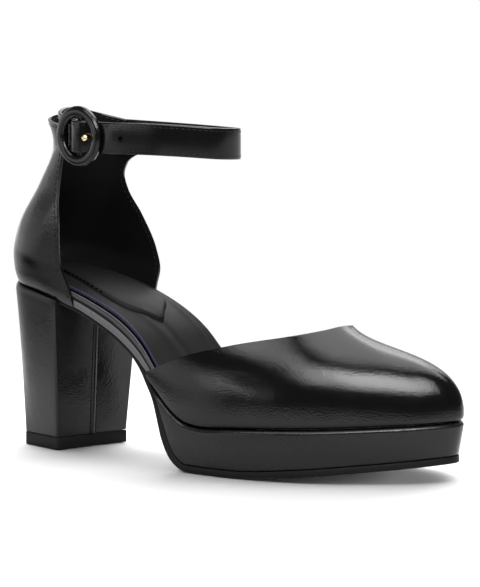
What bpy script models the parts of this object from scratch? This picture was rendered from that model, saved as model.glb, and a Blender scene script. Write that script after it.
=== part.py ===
"""Block heel platform pump with an ankle strap: one right shoe, standing empty on its sole.

Lengths in the tables are millimetres. X runs from the heel's back to the toe, Y from the outer
side (minus) to the inner side (plus), and Z up from the floor.
"""

import math
from collections import namedtuple

import bmesh
import bpy
import numpy as np

MM = 0.001

# Driving sizes
WALL = 1.5
GAP = 0.35
HEEL_LIFT_HEIGHT = 6.0
PLATFORM_START = 96.6
PLATFORM_STEP = 0.3
PLATFORM_ROLL = 1.8
PLATFORM_TOE_MARGIN = 0.15
TOE_LEAN = 3.1
TOE_LEAN_START = 120.0
OUTSOLE_THICKNESS = 3.2
SHANK_SOLE_THICKNESS = 1.6
SHANK_INSET = 2.8
SHANK_INSET_END = 84.0
SHANK_INSET_FADE = 24.0
STRAP_WIDTH = 15.0
STRAP_THICKNESS = 2.0
BUCKLE_OUTER_RADIUS = 14.5
BUCKLE_INNER_RADIUS = 9.4
BUCKLE_THICKNESS = 3.2
PAD_THICKNESS = 1.6
INSOLE_INSET = WALL + 0.8
INSOLE_END_MARGIN = 1.2

# The centre of the shoe's box on the floor, which becomes the origin
CENTRE_X = 119.89
CENTRE_Y = -0.20

# How far forward the inner side lies for each millimetre across the foot
FOOT_SKEW = 0.15

# The lower edge of the upper, seen from above, a row for each station from the heel round the toe
EdgeRow = namedtuple("EdgeRow", "station x y")
EDGE = [
    EdgeRow("heel_back", 2.0, -1.5),
    EdgeRow("heel_outer_corner", 9.5, -19.0),
    EdgeRow("seat_outer", 29.0, -26.5),
    EdgeRow("breast_outer", 48.0, -27.6),
    EdgeRow("waist_outer", 74.0, -27.8),
    EdgeRow("vamp_outer", 90.0, -29.8),
    EdgeRow("joint_outer", 111.0, -35.4),
    EdgeRow("ball_outer", 140.0, -38.3),
    EdgeRow("toe_outer", 172.0, -34.0),
    EdgeRow("cap_outer", 207.0, -18.5),
    EdgeRow("tip_outer", 227.4, -4.5),
    EdgeRow("tip", 237.8, 9.5),
    EdgeRow("cap_inner", 226.0, 27.5),
    EdgeRow("toe_inner", 203.0, 36.0),
    EdgeRow("ball_inner", 172.0, 38.0),
    EdgeRow("joint_inner", 143.0, 34.5),
    EdgeRow("vamp_inner", 108.0, 28.8),
    EdgeRow("waist_inner", 80.0, 26.5),
    EdgeRow("breast_inner", 55.0, 25.5),
    EdgeRow("seat_inner", 31.0, 22.8),
    EdgeRow("heel_inner_corner", 10.0, 15.2),
]

# Height of the upper's lower edge along the foot
ProfileRow = namedtuple("ProfileRow", "along height")
LAST_BOTTOM = [
    ProfileRow(0.0, 82.0),
    ProfileRow(25.0, 78.9),
    ProfileRow(40.0, 75.4),
    ProfileRow(52.0, 71.6),
    ProfileRow(64.0, 65.8),
    ProfileRow(76.0, 58.6),
    ProfileRow(88.0, 49.2),
    ProfileRow(97.0, 39.4),
    ProfileRow(105.0, 31.9),
    ProfileRow(113.0, 26.1),
    ProfileRow(121.0, 22.7),
    ProfileRow(130.0, 21.8),
    ProfileRow(146.0, 22.9),
    ProfileRow(200.0, 25.8),
    ProfileRow(245.0, 28.4),
]

# The outsole's upper face from where it leaves the shank, down the platform's back and under the toes
TREAD_START = 121.5
SHANK_END_MARGIN = 3.0
OUTSOLE_TOP = [
    ProfileRow(95.0, 40.5),
    ProfileRow(101.3, 32.0),
    ProfileRow(105.7, 22.0),
    ProfileRow(110.3, 12.0),
    ProfileRow(115.2, 6.0),
    ProfileRow(TREAD_START, OUTSOLE_THICKNESS),
    ProfileRow(147.0, OUTSOLE_THICKNESS),
    ProfileRow(175.0, 5.2),
    ProfileRow(205.0, 8.4),
    ProfileRow(240.0, 12.2),
]

# Insole thickness at its edge, and how far its middle stands above that
InsoleRow = namedtuple("InsoleRow", "along thickness crown")
INSOLE = [
    InsoleRow(0.0, 7.0, 0.4),
    InsoleRow(25.0, 7.2, 0.6),
    InsoleRow(50.0, 8.1, 0.8),
    InsoleRow(95.0, 9.8, 1.0),
    InsoleRow(115.0, 5.3, 1.2),
    InsoleRow(160.0, 3.6, 0.6),
    InsoleRow(240.0, 3.2, 0.3),
]

# The insole's rounded upper face: places across it and the share of its thickness lost there
InsoleEdgeRow = namedtuple("InsoleEdgeRow", "across drop")
INSOLE_EDGE = [
    InsoleEdgeRow(1.0, 0.12),
    InsoleEdgeRow(0.95, 0.02),
    InsoleEdgeRow(0.6, 0.0),
    InsoleEdgeRow(0.3, 0.0),
    InsoleEdgeRow(0.0, 0.0),
    InsoleEdgeRow(-0.3, 0.0),
    InsoleEdgeRow(-0.6, 0.0),
    InsoleEdgeRow(-0.95, 0.02),
    InsoleEdgeRow(-1.0, 0.12),
]

# The heel cushion's two sides
PadRow = namedtuple("PadRow", "along outer_y inner_y")
SOCK_PAD = [
    PadRow(9.0, -3.5, 3.5),
    PadRow(14.0, -5.0, 8.0),
    PadRow(28.0, -6.8, 13.2),
    PadRow(43.5, -12.0, 15.6),
    PadRow(52.5, -14.7, 16.4),
    PadRow(60.6, -15.7, 16.8),
    PadRow(68.2, -15.4, 16.4),
    PadRow(73.0, -13.6, 13.6),
    PadRow(78.0, -9.2, 5.8),
    PadRow(83.0, -3.2, -1.6),
]

# Vamp sections, from the edge up to the topline: each is one curve that leaves the edge upright
VampRow = namedtuple("VampRow", "station top_x top_y top_z wall flare slope reach")
VAMP = [
    VampRow("vamp_outer", 90.2, -30.0, 45.1, 0.8, 0.0, 80.0, 0.8),
    VampRow("joint_outer", 110.0, -32.8, 53.7, 11.2, 1.2, 72.0, 9.0),
    VampRow("ball_outer", 137.5, -30.8, 61.4, 14.5, 1.6, 55.0, 13.0),
    VampRow("toe_outer", 162.5, -22.3, 66.2, 21.0, 1.3, 52.0, 15.0),
    VampRow("cap_outer", 176.5, -10.0, 69.0, 21.8, 1.2, 34.0, 23.5),
    VampRow("tip_outer", 181.4, -2.5, 70.3, 26.6, 1.2, 32.0, 19.0),
    VampRow("tip", 183.2, 2.5, 70.1, 30.8, 1.0, 44.0, 18.0),
    VampRow("cap_inner", 181.0, 7.5, 69.4, 31.0, 1.5, 50.0, 17.5),
    VampRow("toe_inner", 175.0, 14.5, 67.3, 19.1, 1.5, 38.0, 17.5),
    VampRow("ball_inner", 160.0, 23.5, 61.5, 14.8, 1.5, 52.0, 14.0),
    VampRow("joint_inner", 139.5, 29.3, 52.0, 11.6, 1.5, 66.0, 10.0),
    VampRow("vamp_inner", 108.2, 29.0, 35.8, 0.8, 0.0, 80.0, 0.8),
]

# Quarter sections, level with the floor: each is a round back that runs out into two wings.
# Below the blend share of its height, a line of the quarter bends in to the upper's lower edge.
QUARTER_SEAT = 78.0
QUARTER_BLEND = 0.22
QUARTER_PASSES = 4
QUARTER_EDGE_SHARE = 0.2
QuarterRow = namedtuple("QuarterRow", "height back depth outer inner")
QUARTER = [
    QuarterRow(72.0, 3.4, 26.0, -26.8, 25.2),
    QuarterRow(94.0, 1.6, 27.0, -28.6, 28.0),
    QuarterRow(110.0, 5.4, 27.0, -28.2, 28.2),
    QuarterRow(130.0, 16.8, 25.0, -26.0, 27.0),
    QuarterRow(150.0, 24.6, 22.0, -24.2, 26.0),
    QuarterRow(162.0, 20.8, 24.0, -24.6, 25.8),
]

# The two front edges of the quarter
FrontRow = namedtuple("FrontRow", "height outer_x inner_x")
QUARTER_FRONT = [
    FrontRow(70.0, 46.5, 61.6),
    FrontRow(84.0, 41.8, 63.4),
    FrontRow(96.0, 40.4, 60.3),
    FrontRow(112.0, 39.6, 52.2),
    FrontRow(124.0, 38.4, 44.8),
    FrontRow(131.0, 38.3, 43.0),
    FrontRow(137.0, 38.4, 45.2),
    FrontRow(140.5, 38.5, 49.5),
    FrontRow(143.5, 38.6, 58.0),
    FrontRow(147.0, 38.8, 62.0),
    FrontRow(162.0, 40.0, 62.0),
]

# Height of the quarter's top edge, from the outer front edge round the back to the inner one
RimRow = namedtuple("RimRow", "round height")
QUARTER_RIM = [
    RimRow(-1.0, 159.0),
    RimRow(-0.4, 160.4),
    RimRow(0.0, 161.2),
    RimRow(0.4, 160.0),
    RimRow(1.0, 156.6),
]

# Centre line of the strap that passes round the front of the ankle, up to the buckle
StrapRow = namedtuple("StrapRow", "x y z")
FRONT_STRAP = [
    StrapRow(47.0, 22.9, 151.2),
    StrapRow(63.0, 23.2, 151.0),
    StrapRow(84.0, 21.6, 150.9),
    StrapRow(107.0, 15.2, 151.2),
    StrapRow(121.6, 3.6, 152.2),
    StrapRow(120.6, -10.6, 153.4),
    StrapRow(104.0, -23.0, 155.0),
    StrapRow(84.0, -28.4, 155.4),
]

# Centre line of the strap that passes round the back, inside the quarter
BACK_STRAP = [
    StrapRow(46.6, 22.9, 151.2),
    StrapRow(38.5, 19.4, 153.2),
    StrapRow(30.6, 10.5, 156.4),
    StrapRow(28.2, -1.0, 158.2),
    StrapRow(30.6, -12.0, 157.2),
    StrapRow(37.2, -18.7, 156.0),
]

# Strap lengths next to the buckle, measured along the strap from the buckle's middle
FRONT_STRAP_LEAD = (17.0, 10.5)
THREADED_START = 9.0
THREADED_END = -11.6
THREADED_COUNT = 15
FRONT_STRAP_STEP = 5.0
BACK_STRAP_LEAD = (-11.0, -6.5)
BACK_STRAP_RISE_ALONG = -4.3
BACK_STRAP_RISE = 1.5
BACK_STRAP_END = -2.2
BACK_STRAP_STEP = 4.0
STRAP_EASE = 0.5

# The buckle's centre, and its turn about the upright from facing straight outwards
BUCKLE_X = 52.2
BUCKLE_Y = -29.1
BUCKLE_Z = 155.0
BUCKLE_TURN = math.radians(13.0)
BAR_RADIUS = 0.9
BAR_OUT = -0.6
UNDER_RING = -BUCKLE_THICKNESS / 2 - GAP - STRAP_THICKNESS / 2
OVER_BAR = BAR_OUT + BAR_RADIUS + GAP + STRAP_THICKNESS / 2

# The prong's line from the bar out through the strap, and the hole it passes through
ProngRow = namedtuple("ProngRow", "along out")
PRONG = [
    ProngRow(2.2, -0.6),
    ProngRow(3.6, -0.6),
    ProngRow(5.0, 0.5),
    ProngRow(6.2, 1.6),
]
PRONG_RADIUS = 0.75
PRONG_TIP_RADIUS = 1.7
PRONG_TIP_ANGLES = (25.0, 55.0, 90.0, 125.0, 155.0)
PUNCH_RADIUS = 1.6
PUNCH_DEPTH = 12.0

# Heel block: its front face on the foot's centre line and its slant across, at the top and at the lift
HEEL_INSET = 0.2
HEEL_BACK_STEP = 0.05
HEEL_TOP_BREAST = 44.6
HEEL_LOW_BREAST = 40.0
HEEL_TOP_SKEW = 0.30
HEEL_LOW_SKEW = 0.448
HEEL_LOW_BACK = 5.8
HEEL_LOW_OUTER = -17.7
HEEL_LOW_INNER = 19.3
HEEL_LOW_ROUND = 8.0
HEEL_LOW_TAPER = 0.5
SEAM_WIDTH = 2.6
SEAM_RISE = 0.8
SEAM_START = 0.06
SEAM_FULL = 0.09
SEAM_TOP_SHARE = 0.8

# The lift's levels: its outline as a share of the heel's
LiftRow = namedtuple("LiftRow", "height grow")
LIFT = [
    LiftRow(HEEL_LIFT_HEIGHT, 1.004),
    LiftRow(0.5, 1.004),
    LiftRow(0.0, 0.985),
]

# Evenly spread places across a sheet
ACROSS = (0.0, 0.25, 0.5, 0.75, 1.0)


def smooth_curve(knots, values, level=False):
    """A cubic through the rows whose slope at each row comes from its two neighbours.

    With level set, a row that is a peak, a dip or the end of a flat run keeps a slope of zero.
    """
    knots = np.asarray(knots, float)
    values = np.asarray(values, float)
    if values.ndim == 1:
        values = values[:, None]
    gaps = np.diff(knots)[:, None]
    secants = np.diff(values, axis=0) / gaps
    slopes = np.empty_like(values)
    slopes[0] = secants[0]
    slopes[-1] = secants[-1]
    before, after = secants[:-1], secants[1:]
    mean = (before * gaps[1:] + after * gaps[:-1]) / (gaps[1:] + gaps[:-1])
    if level:
        product = before * after
        total = np.where(before + after == 0.0, 1.0, before + after)
        mean = np.where(product > 0.0, 2.0 * product / total, 0.0)
    slopes[1:-1] = mean

    def at(where):
        where = np.asarray(where, float)
        row = np.clip(np.searchsorted(knots, where, side="right") - 1, 0, len(knots) - 2)
        span = gaps[row, 0]
        part = ((where - knots[row]) / span)[..., None]
        span = span[..., None]
        start = values[row] * (1 + 2 * part) * (1 - part) ** 2
        start = start + slopes[row] * span * part * (1 - part) ** 2
        end = values[row + 1] * part ** 2 * (3 - 2 * part)
        end = end + slopes[row + 1] * span * part ** 2 * (part - 1)
        return start + end

    return at


def table_curve(table, level=False):
    """The curve of a table's later columns over its first column."""
    rows = np.array(table, float)
    return smooth_curve(rows[:, 0], rows[:, 1:], level)


def closed_edge():
    """The closed edge curve, its stations' places along it, and its length."""
    points = np.array([(row.x, row.y) for row in EDGE])
    ring = np.vstack([points, points[:1]])
    places = np.concatenate([[0.0], np.cumsum(np.hypot(*np.diff(ring, axis=0).T))])
    length = places[-1]
    lead = slice(len(points) - 3, len(points))
    knots = np.concatenate([places[lead] - length, places, places[1:4] + length])
    values = np.vstack([points[lead], ring, points[1:4]])
    stations = {row.station: place for row, place in zip(EDGE, places)}
    return smooth_curve(knots, values), stations, length


edge_at, STATION, EDGE_LENGTH = closed_edge()
EDGE_SAMPLES = np.linspace(0.0, EDGE_LENGTH, 3001)
EDGE_POINTS = edge_at(EDGE_SAMPLES)

bottom_curve = table_curve(LAST_BOTTOM, level=True)
outsole_curve = table_curve(OUTSOLE_TOP, level=True)
insole_curve = table_curve(INSOLE)
section_curve = table_curve(QUARTER)
front_curve = table_curve(QUARTER_FRONT, level=True)
rim_curve = table_curve(QUARTER_RIM)


def bottom_height(x, y):
    """Height of the upper's lower edge and of the insole's underside."""
    along = np.asarray(x) - FOOT_SKEW * np.asarray(y)
    along = np.clip(along, LAST_BOTTOM[0].along, LAST_BOTTOM[-1].along)
    return bottom_curve(along)[..., 0]


def edge_outward(place):
    """Unit vector square to the edge, pointing away from the foot."""
    step = 0.5
    run = edge_at(place + step) - edge_at(place - step)
    out = np.stack([run[..., 1], -run[..., 0]], axis=-1)
    return out / np.linalg.norm(out, axis=-1, keepdims=True)


def sides_at(along, skew, inset=0.0):
    """Outer and inner edge points where a skewed line across the foot meets the edge, moved in."""
    outward = edge_outward(EDGE_SAMPLES)
    points = EDGE_POINTS - outward * inset
    reach = points[:, 0] - skew * points[:, 1]
    first = int(np.argmin(reach))
    order = np.roll(np.arange(len(reach) - 1), -first)
    last = int(np.argmax(reach[order]))
    outer = order[: last + 1]
    inner = np.concatenate([order[last:], order[:1]])[::-1]
    sides = []
    for half in (outer, inner):
        rising = np.maximum.accumulate(reach[half])
        sides.append(np.array([np.interp(along, rising, points[half, axis]) for axis in (0, 1)]))
    return sides


def reach_limits(skew, inset=0.0):
    """First and last places along the foot where a skewed line touches the moved-in edge."""
    points = EDGE_POINTS - edge_outward(EDGE_SAMPLES) * inset
    reach = points[:, 0] - skew * points[:, 1]
    return reach.min(), reach.max()


def eased(count, both_ends):
    """Steps from 0 to 1, closer together at both ends or only at the far one."""
    steps = np.linspace(0.0, 1.0, count)
    if both_ends:
        return (1 - np.cos(np.pi * steps)) / 2
    return np.sin(np.pi * steps / 2)


def new_material(name, colour, roughness, metallic=0.0):
    material = bpy.data.materials.new(name)
    material.use_nodes = True
    shader = material.node_tree.nodes["Principled BSDF"]
    shader.inputs["Base Color"].default_value = (*colour, 1.0)
    shader.inputs["Roughness"].default_value = roughness
    shader.inputs["Metallic"].default_value = metallic
    return material


def add_object(name, mesh, material):
    mesh.materials.append(material)
    part = bpy.data.objects.new(name, mesh)
    SHOE.objects.link(part)
    part.parent = ORIGIN
    return part


def grid_mesh(name, grid, solid):
    """A mesh over a grid of points in millimetres: an open sheet, or a solid whose rows are rings."""
    rows, columns = grid.shape[:2]
    form = bmesh.new()
    points = [[form.verts.new(point * MM) for point in row] for row in grid]
    for above, below in zip(points[:-1], points[1:]):
        for column in range(columns if solid else columns - 1):
            right = (column + 1) % columns
            form.faces.new((above[column], above[right], below[right], below[column]))
    if solid:
        for end, ring in ((points[0], grid[0]), (points[-1], grid[-1])):
            middle = form.verts.new(ring.mean(axis=0) * MM)
            for column in range(columns):
                form.faces.new((end[column], end[(column + 1) % columns], middle))
        bmesh.ops.recalc_face_normals(form, faces=form.faces)
    mesh = bpy.data.meshes.new(name)
    form.to_mesh(mesh)
    form.free()
    return mesh


def add_loft(name, rings, material):
    """A solid through closed rings of points, closed at both ends."""
    return add_object(name, grid_mesh(name, np.asarray(rings), True), material)


def add_shell(name, grid, thickness, material):
    """An open surface made into a wall, grown inwards from its outer face."""
    part = add_object(name, grid_mesh(name, grid, False), material)
    wall = part.modifiers.new("wall", "SOLIDIFY")
    wall.thickness = thickness * MM
    wall.offset = -1.0
    wall.use_even_offset = True
    return part


def vamp_grid(columns, rows):
    """The vamp's outer face: sections fanned from the toe's edge up to the topline."""
    places = [STATION[row.station] for row in VAMP]
    fan = smooth_curve(places, [row[1:] for row in VAMP])
    nudge = 0.5
    grid = np.empty((columns, rows, 3))
    for column, place in enumerate(np.linspace(places[0], places[-1], columns)):
        top_x, top_y, top_z, wall, flare, slope, reach = fan(place)
        foot = edge_at(place)
        start = np.array([*foot, bottom_height(*foot)])
        end = np.array([top_x, top_y, top_z])
        outward = edge_outward(place)
        towards = foot - end[:2] + nudge * outward
        towards = towards / np.linalg.norm(towards)
        fall = math.radians(slope)
        rise = start + np.array([*(outward * flare), wall])
        lead = end + reach * np.array([*(towards * math.cos(fall)), -math.sin(fall)])
        for row, part in enumerate(np.linspace(0.0, 1.0, rows)):
            rest = 1.0 - part
            grid[column, row] = (rest ** 3 * start + 3 * rest ** 2 * part * rise
                                 + 3 * rest * part ** 2 * lead + part ** 3 * end)
    return grid


def quarter_point(turn, level):
    """A point of the quarter's outer face: turn runs from the outer wing round to the inner one."""
    side = 1.0 if turn >= 0.0 else -1.0
    top = rim_curve(turn)[0]
    height = QUARTER_SEAT + level * (top - QUARTER_SEAT)
    for _ in range(QUARTER_PASSES):
        back, depth, outer, inner = section_curve(height)
        outer_front, inner_front = front_curve(height)
        centre = EDGE[0].y
        width = (inner - centre) if side > 0 else (outer - centre)
        front = inner_front if side > 0 else outer_front
        x = back + (front - back) * turn * turn
        bend = min((x - back) / depth, 1.0)
        y = centre + width * math.sqrt(1.0 - (1.0 - bend) ** 2)
        foot_x, foot_y = quarter_foot(turn)
        blend = min(level / QUARTER_BLEND, 1.0)
        blend = blend * blend * (3.0 - 2.0 * blend)
        x = foot_x + (x - foot_x) * blend
        y = foot_y + (y - foot_y) * blend
        seat = float(bottom_height(x, y))
        height = seat + level * (top - seat)
    return x, y, height


def quarter_foot(turn):
    """Where a line of the quarter meets its lower edge."""
    side = 1.0 if turn >= 0.0 else -1.0
    front = QUARTER_FRONT[0].inner_x if side > 0 else QUARTER_FRONT[0].outer_x
    x = EDGE[0].x + (front - EDGE[0].x) * turn * turn
    share = int(len(EDGE_SAMPLES) * QUARTER_EDGE_SHARE)
    points = EDGE_POINTS[-share:][::-1] if side > 0 else EDGE_POINTS[:share]
    return x, float(np.interp(x, np.maximum.accumulate(points[:, 0]), points[:, 1]))


def quarter_grid(columns, rows):
    turns = np.linspace(-1.0, 1.0, columns)
    levels = np.linspace(0.0, 1.0, rows)
    return np.array([[quarter_point(turn, level) for level in levels] for turn in turns])


def insole_top(along, across, edge_height):
    """Height of the insole's upper face above its edge, for a place across it from -1 to 1."""
    crown = insole_curve(along)[1]
    return edge_height + crown * (1.0 - across ** 2)


def insole_rings(count):
    first, last = reach_limits(FOOT_SKEW, INSOLE_INSET)
    rings = []
    for part in eased(count, True):
        along = first + INSOLE_END_MARGIN + part * (last - first - 2 * INSOLE_END_MARGIN)
        outer, inner = sides_at(along, FOOT_SKEW, INSOLE_INSET)
        thickness = insole_curve(along)[0]
        ring = []
        for across in ACROSS:
            x, y = outer + (inner - outer) * across
            ring.append((x, y, bottom_height(x, y)))
        for across, drop in INSOLE_EDGE:
            x, y = outer + (inner - outer) * (across + 1.0) / 2.0
            top = insole_top(along, across, thickness)
            ring.append((x, y, bottom_height(x, y) + top - drop * thickness))
        rings.append(ring)
    return rings


def pad_rings(count):
    """The heel cushion: a sheet that follows the insole's upper face, inside its edge."""
    sides = table_curve(SOCK_PAD)
    bevel = 0.05
    narrow = [bevel + (1.0 - 2.0 * bevel) * across for across in ACROSS]
    rings = []
    for part in eased(count, True):
        along = SOCK_PAD[0].along + (SOCK_PAD[-1].along - SOCK_PAD[0].along) * part
        outer, inner = sides(along)
        wide_outer, wide_inner = sides_at(along, FOOT_SKEW, INSOLE_INSET)
        thickness = insole_curve(along)[0]
        sheet = []
        for lift, spread in ((GAP, ACROSS), (GAP + PAD_THICKNESS, narrow[::-1])):
            for across in spread:
                y = outer + (inner - outer) * across
                x = along + FOOT_SKEW * y
                whole = 2.0 * (y - wide_outer[1]) / (wide_inner[1] - wide_outer[1]) - 1.0
                sheet.append((x, y, bottom_height(x, y) + insole_top(along, whole, thickness) + lift))
        rings.append(sheet)
    return rings


def platform_rings(count):
    """The platform: its top follows the upper's edge, its underside the outsole's upper face."""
    last = reach_limits(FOOT_SKEW, -PLATFORM_STEP)[1] - PLATFORM_TOE_MARGIN
    widest_roll = 0.2
    thinnest_side = 0.55
    rolled = [(1.0 - math.cos(angle), 1.0 - math.sin(angle)) for angle in np.radians((0.0, 45.0, 90.0))]
    rings = []
    for part in eased(count, True):
        along = PLATFORM_START + part * (last - PLATFORM_START)
        low_along = along - toe_lean(along)
        outer, inner = sides_at(along, FOOT_SKEW, -PLATFORM_STEP)
        shift = np.array([low_along - along, 0.0])
        span = inner - outer
        width = np.linalg.norm(span)
        soft = min(PLATFORM_ROLL / width, widest_roll)
        edge = [(soft * across, PLATFORM_ROLL * drop) for across, drop in rolled]
        crown = edge + [(across, 0.0) for across in ACROSS[1:-1]]
        crown += [(1.0 - across, drop) for across, drop in reversed(edge)]
        ring = []
        for across, drop in crown:
            x, y = outer + span * across
            top = bottom_height(x, y) - GAP
            low = outsole_curve(low_along)[0] + GAP
            ring.append((x, y, top - min(drop, (1.0 - thinnest_side) * (top - low))))
        for across in reversed(ACROSS):
            x, y = outer + span * across + shift
            ring.append((x, y, outsole_curve(x - FOOT_SKEW * y)[0] + slope_gap(x - FOOT_SKEW * y)))
        rings.append(ring)
    return rings


def toe_lean(along):
    """How far the platform's foot lies behind its top edge: nothing at the joint, most at the toe."""
    part = max(0.0, (along - TOE_LEAN_START) / (LAST_BOTTOM[-1].along - TOE_LEAN_START))
    return TOE_LEAN * part


def slope_gap(along):
    """The upright clearance that keeps the gap square to the outsole's slope."""
    step = 0.2
    rise = (outsole_curve(along + step)[0] - outsole_curve(along - step)[0]) / (2 * step)
    return GAP * math.hypot(1.0, rise)


def outsole_line(count_shank, count_slope, count_tread):
    """The outsole's upper line along the foot: the shank, the platform's back, then the tread."""
    leave = OUTSOLE_TOP[0].along
    last = reach_limits(FOOT_SKEW, -PLATFORM_STEP)[1] - PLATFORM_TOE_MARGIN
    shank = np.linspace(HEEL_TOP_BREAST + GAP, leave - SHANK_END_MARGIN, count_shank)
    slope = np.linspace(leave, TREAD_START, count_slope)
    fore = TREAD_START + (last - TREAD_START) * eased(count_tread + 1, False)[1:]
    heights = [bottom_curve(along)[0] - GAP for along in shank]
    heights += [outsole_curve(along - toe_lean(along))[0] for along in (*slope, *fore)]
    return np.column_stack([np.concatenate([shank, slope, fore]), heights])


def outsole_rings(count_shank, count_slope, count_tread):
    line = outsole_line(count_shank, count_slope, count_tread)
    run = np.gradient(line, axis=0)
    run = run / np.linalg.norm(run, axis=1, keepdims=True)
    rings = []
    for index, (along, height) in enumerate(line):
        on_shank = index < count_shank
        turn = max(0.0, 1.0 - index / (count_shank / 2))
        skew = FOOT_SKEW + (HEEL_TOP_SKEW - FOOT_SKEW) * turn
        slip = min(max((along - SHANK_INSET_END) / SHANK_INSET_FADE, 0.0), 1.0)
        inset = SHANK_INSET + (-PLATFORM_STEP - SHANK_INSET) * slip
        outer, inner = sides_at(along, skew, inset)
        thick = SHANK_SOLE_THICKNESS + (OUTSOLE_THICKNESS - SHANK_SOLE_THICKNESS) * slip
        down = np.array([run[index, 1], -run[index, 0]]) * thick
        if index == 0:
            down = np.array([0.0, -thick])
        ring = []
        for lower, spread in ((False, ACROSS), (True, ACROSS[::-1])):
            for across in spread:
                x, y = outer + (inner - outer) * across
                z = bottom_height(x, y) - GAP if on_shank else height
                x = x - toe_lean(along)
                if lower:
                    x = x + down[0]
                    z = max(z + down[1], 0.0)
                ring.append((x, y, z))
        rings.append(ring)
    return rings


def heel_section(part, count, seam_rise):
    """The heel's outline at a level from its top (0) to the lift (1): tapered back, flat front with a seam."""
    first = reach_limits(HEEL_TOP_SKEW, HEEL_INSET)[0]
    steps = (np.linspace(0.0, 1.0, count) ** 2)[1:]
    outer, inner = [], []
    for step in steps:
        along = first + (HEEL_TOP_BREAST - first) * step
        top_outer, top_inner = sides_at(along, HEEL_TOP_SKEW, HEEL_INSET)
        low_x = HEEL_LOW_BACK + (HEEL_LOW_BREAST - HEEL_LOW_BACK) * step
        bulge = math.sqrt(1.0 - (1.0 - min(step * HEEL_LOW_ROUND, 1.0)) ** 2)
        bulge *= HEEL_LOW_TAPER + (1.0 - HEEL_LOW_TAPER) * step
        skew = HEEL_LOW_SKEW * step
        low_outer = np.array([low_x + skew * HEEL_LOW_OUTER, HEEL_LOW_OUTER * bulge])
        low_inner = np.array([low_x + skew * HEEL_LOW_INNER, HEEL_LOW_INNER * bulge])
        outer.append(top_outer + (low_outer - top_outer) * part)
        inner.append(top_inner + (low_inner - top_inner) * part)
    middle = (outer[-1] + inner[-1]) / 2.0
    across = (inner[-1] - outer[-1]) / np.linalg.norm(inner[-1] - outer[-1])
    ahead = np.array([across[1], -across[0]])
    foot = across * SEAM_WIDTH / 2
    head = foot * SEAM_TOP_SHARE
    rise = ahead * seam_rise
    seam = [middle - foot, middle - head + rise, middle + head + rise, middle + foot]
    top_back = np.array(sides_at(first + HEEL_BACK_STEP, HEEL_TOP_SKEW, HEEL_INSET)).mean(axis=0)
    low_back = np.array([HEEL_LOW_BACK, 0.0])
    back = top_back + (low_back - top_back) * part
    return [back, *outer, *seam, *reversed(inner)]


def heel_rings(levels, count):
    rings = []
    for part in (0.0, SEAM_START, *np.linspace(SEAM_FULL, 1.0, levels)):
        ring = []
        for x, y in heel_section(part, count, SEAM_RISE if part > SEAM_START else 0.0):
            top = bottom_height(x, y) - GAP
            low = HEEL_LIFT_HEIGHT + GAP
            ring.append((x, y, top + (low - top) * part))
        rings.append(ring)
    return rings


def lift_rings(count):
    outline = np.array(heel_section(1.0, count, 0.0))
    middle = outline.mean(axis=0)
    rings = []
    for height, grow in LIFT:
        rings.append([(*(middle + (point - middle) * grow), height) for point in outline])
    return rings


def strap_ring(point, outward):
    """One section of a strap: a flat band on edge, with its corners eased."""
    half_width = STRAP_WIDTH / 2
    half_thick = STRAP_THICKNESS / 2
    flat = half_thick - STRAP_EASE
    tall = half_width - STRAP_EASE
    corners = ((half_thick, tall), (flat, half_width), (-flat, half_width), (-half_thick, tall),
               (-half_thick, -tall), (-flat, -half_width), (flat, -half_width), (half_thick, -tall))
    return [(*(point[:2] + outward * out), point[2] + up) for out, up in corners]


def strap_rings(path):
    run = np.gradient(path[:, :2], axis=0)
    run = run / np.linalg.norm(run, axis=1, keepdims=True)
    return [strap_ring(point, np.array([step[1], -step[0]])) for point, step in zip(path, run)]


def through_rows(rows, step):
    """Points along a smooth line through the rows, about one step apart."""
    points = np.array(rows, float)
    places = np.concatenate([[0.0], np.cumsum(np.linalg.norm(np.diff(points, axis=0), axis=1))])
    count = max(2, int(round(places[-1] / step)) + 1)
    return smooth_curve(places, points)(np.linspace(0.0, places[-1], count))


def buckle_point(along, out, up=0.0):
    """A place at the buckle: along the strap towards the toe, outwards from the foot, and up."""
    forward = np.array([math.cos(BUCKLE_TURN), -math.sin(BUCKLE_TURN)])
    outward = np.array([-math.sin(BUCKLE_TURN), -math.cos(BUCKLE_TURN)])
    spot = np.array([BUCKLE_X, BUCKLE_Y]) + forward * along + outward * out
    return np.array([spot[0], spot[1], BUCKLE_Z + up])


def over_bar(along):
    """How far out the strap lies as it passes under the ring, over the bar and under again."""
    near = min(abs(along) / BUCKLE_INNER_RADIUS, 1.0)
    return OVER_BAR + (UNDER_RING - OVER_BAR) * near * near * (3.0 - 2.0 * near)


def front_strap_path():
    rows = list(FRONT_STRAP)
    rows += [tuple(buckle_point(along, UNDER_RING)) for along in FRONT_STRAP_LEAD]
    lead = through_rows(rows, FRONT_STRAP_STEP)
    spots = np.linspace(THREADED_START, THREADED_END, THREADED_COUNT)
    return np.vstack([lead, [buckle_point(along, over_bar(along)) for along in spots]])


def back_strap_path():
    under = UNDER_RING - STRAP_THICKNESS - GAP
    rows = list(BACK_STRAP)
    rows += [tuple(buckle_point(along, under)) for along in BACK_STRAP_LEAD]
    rise = buckle_point(BACK_STRAP_RISE_ALONG, under + BACK_STRAP_RISE)
    end = buckle_point(BACK_STRAP_END, BAR_OUT - BAR_RADIUS)
    return np.vstack([through_rows(rows, BACK_STRAP_STEP), [rise], [end]])


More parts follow.
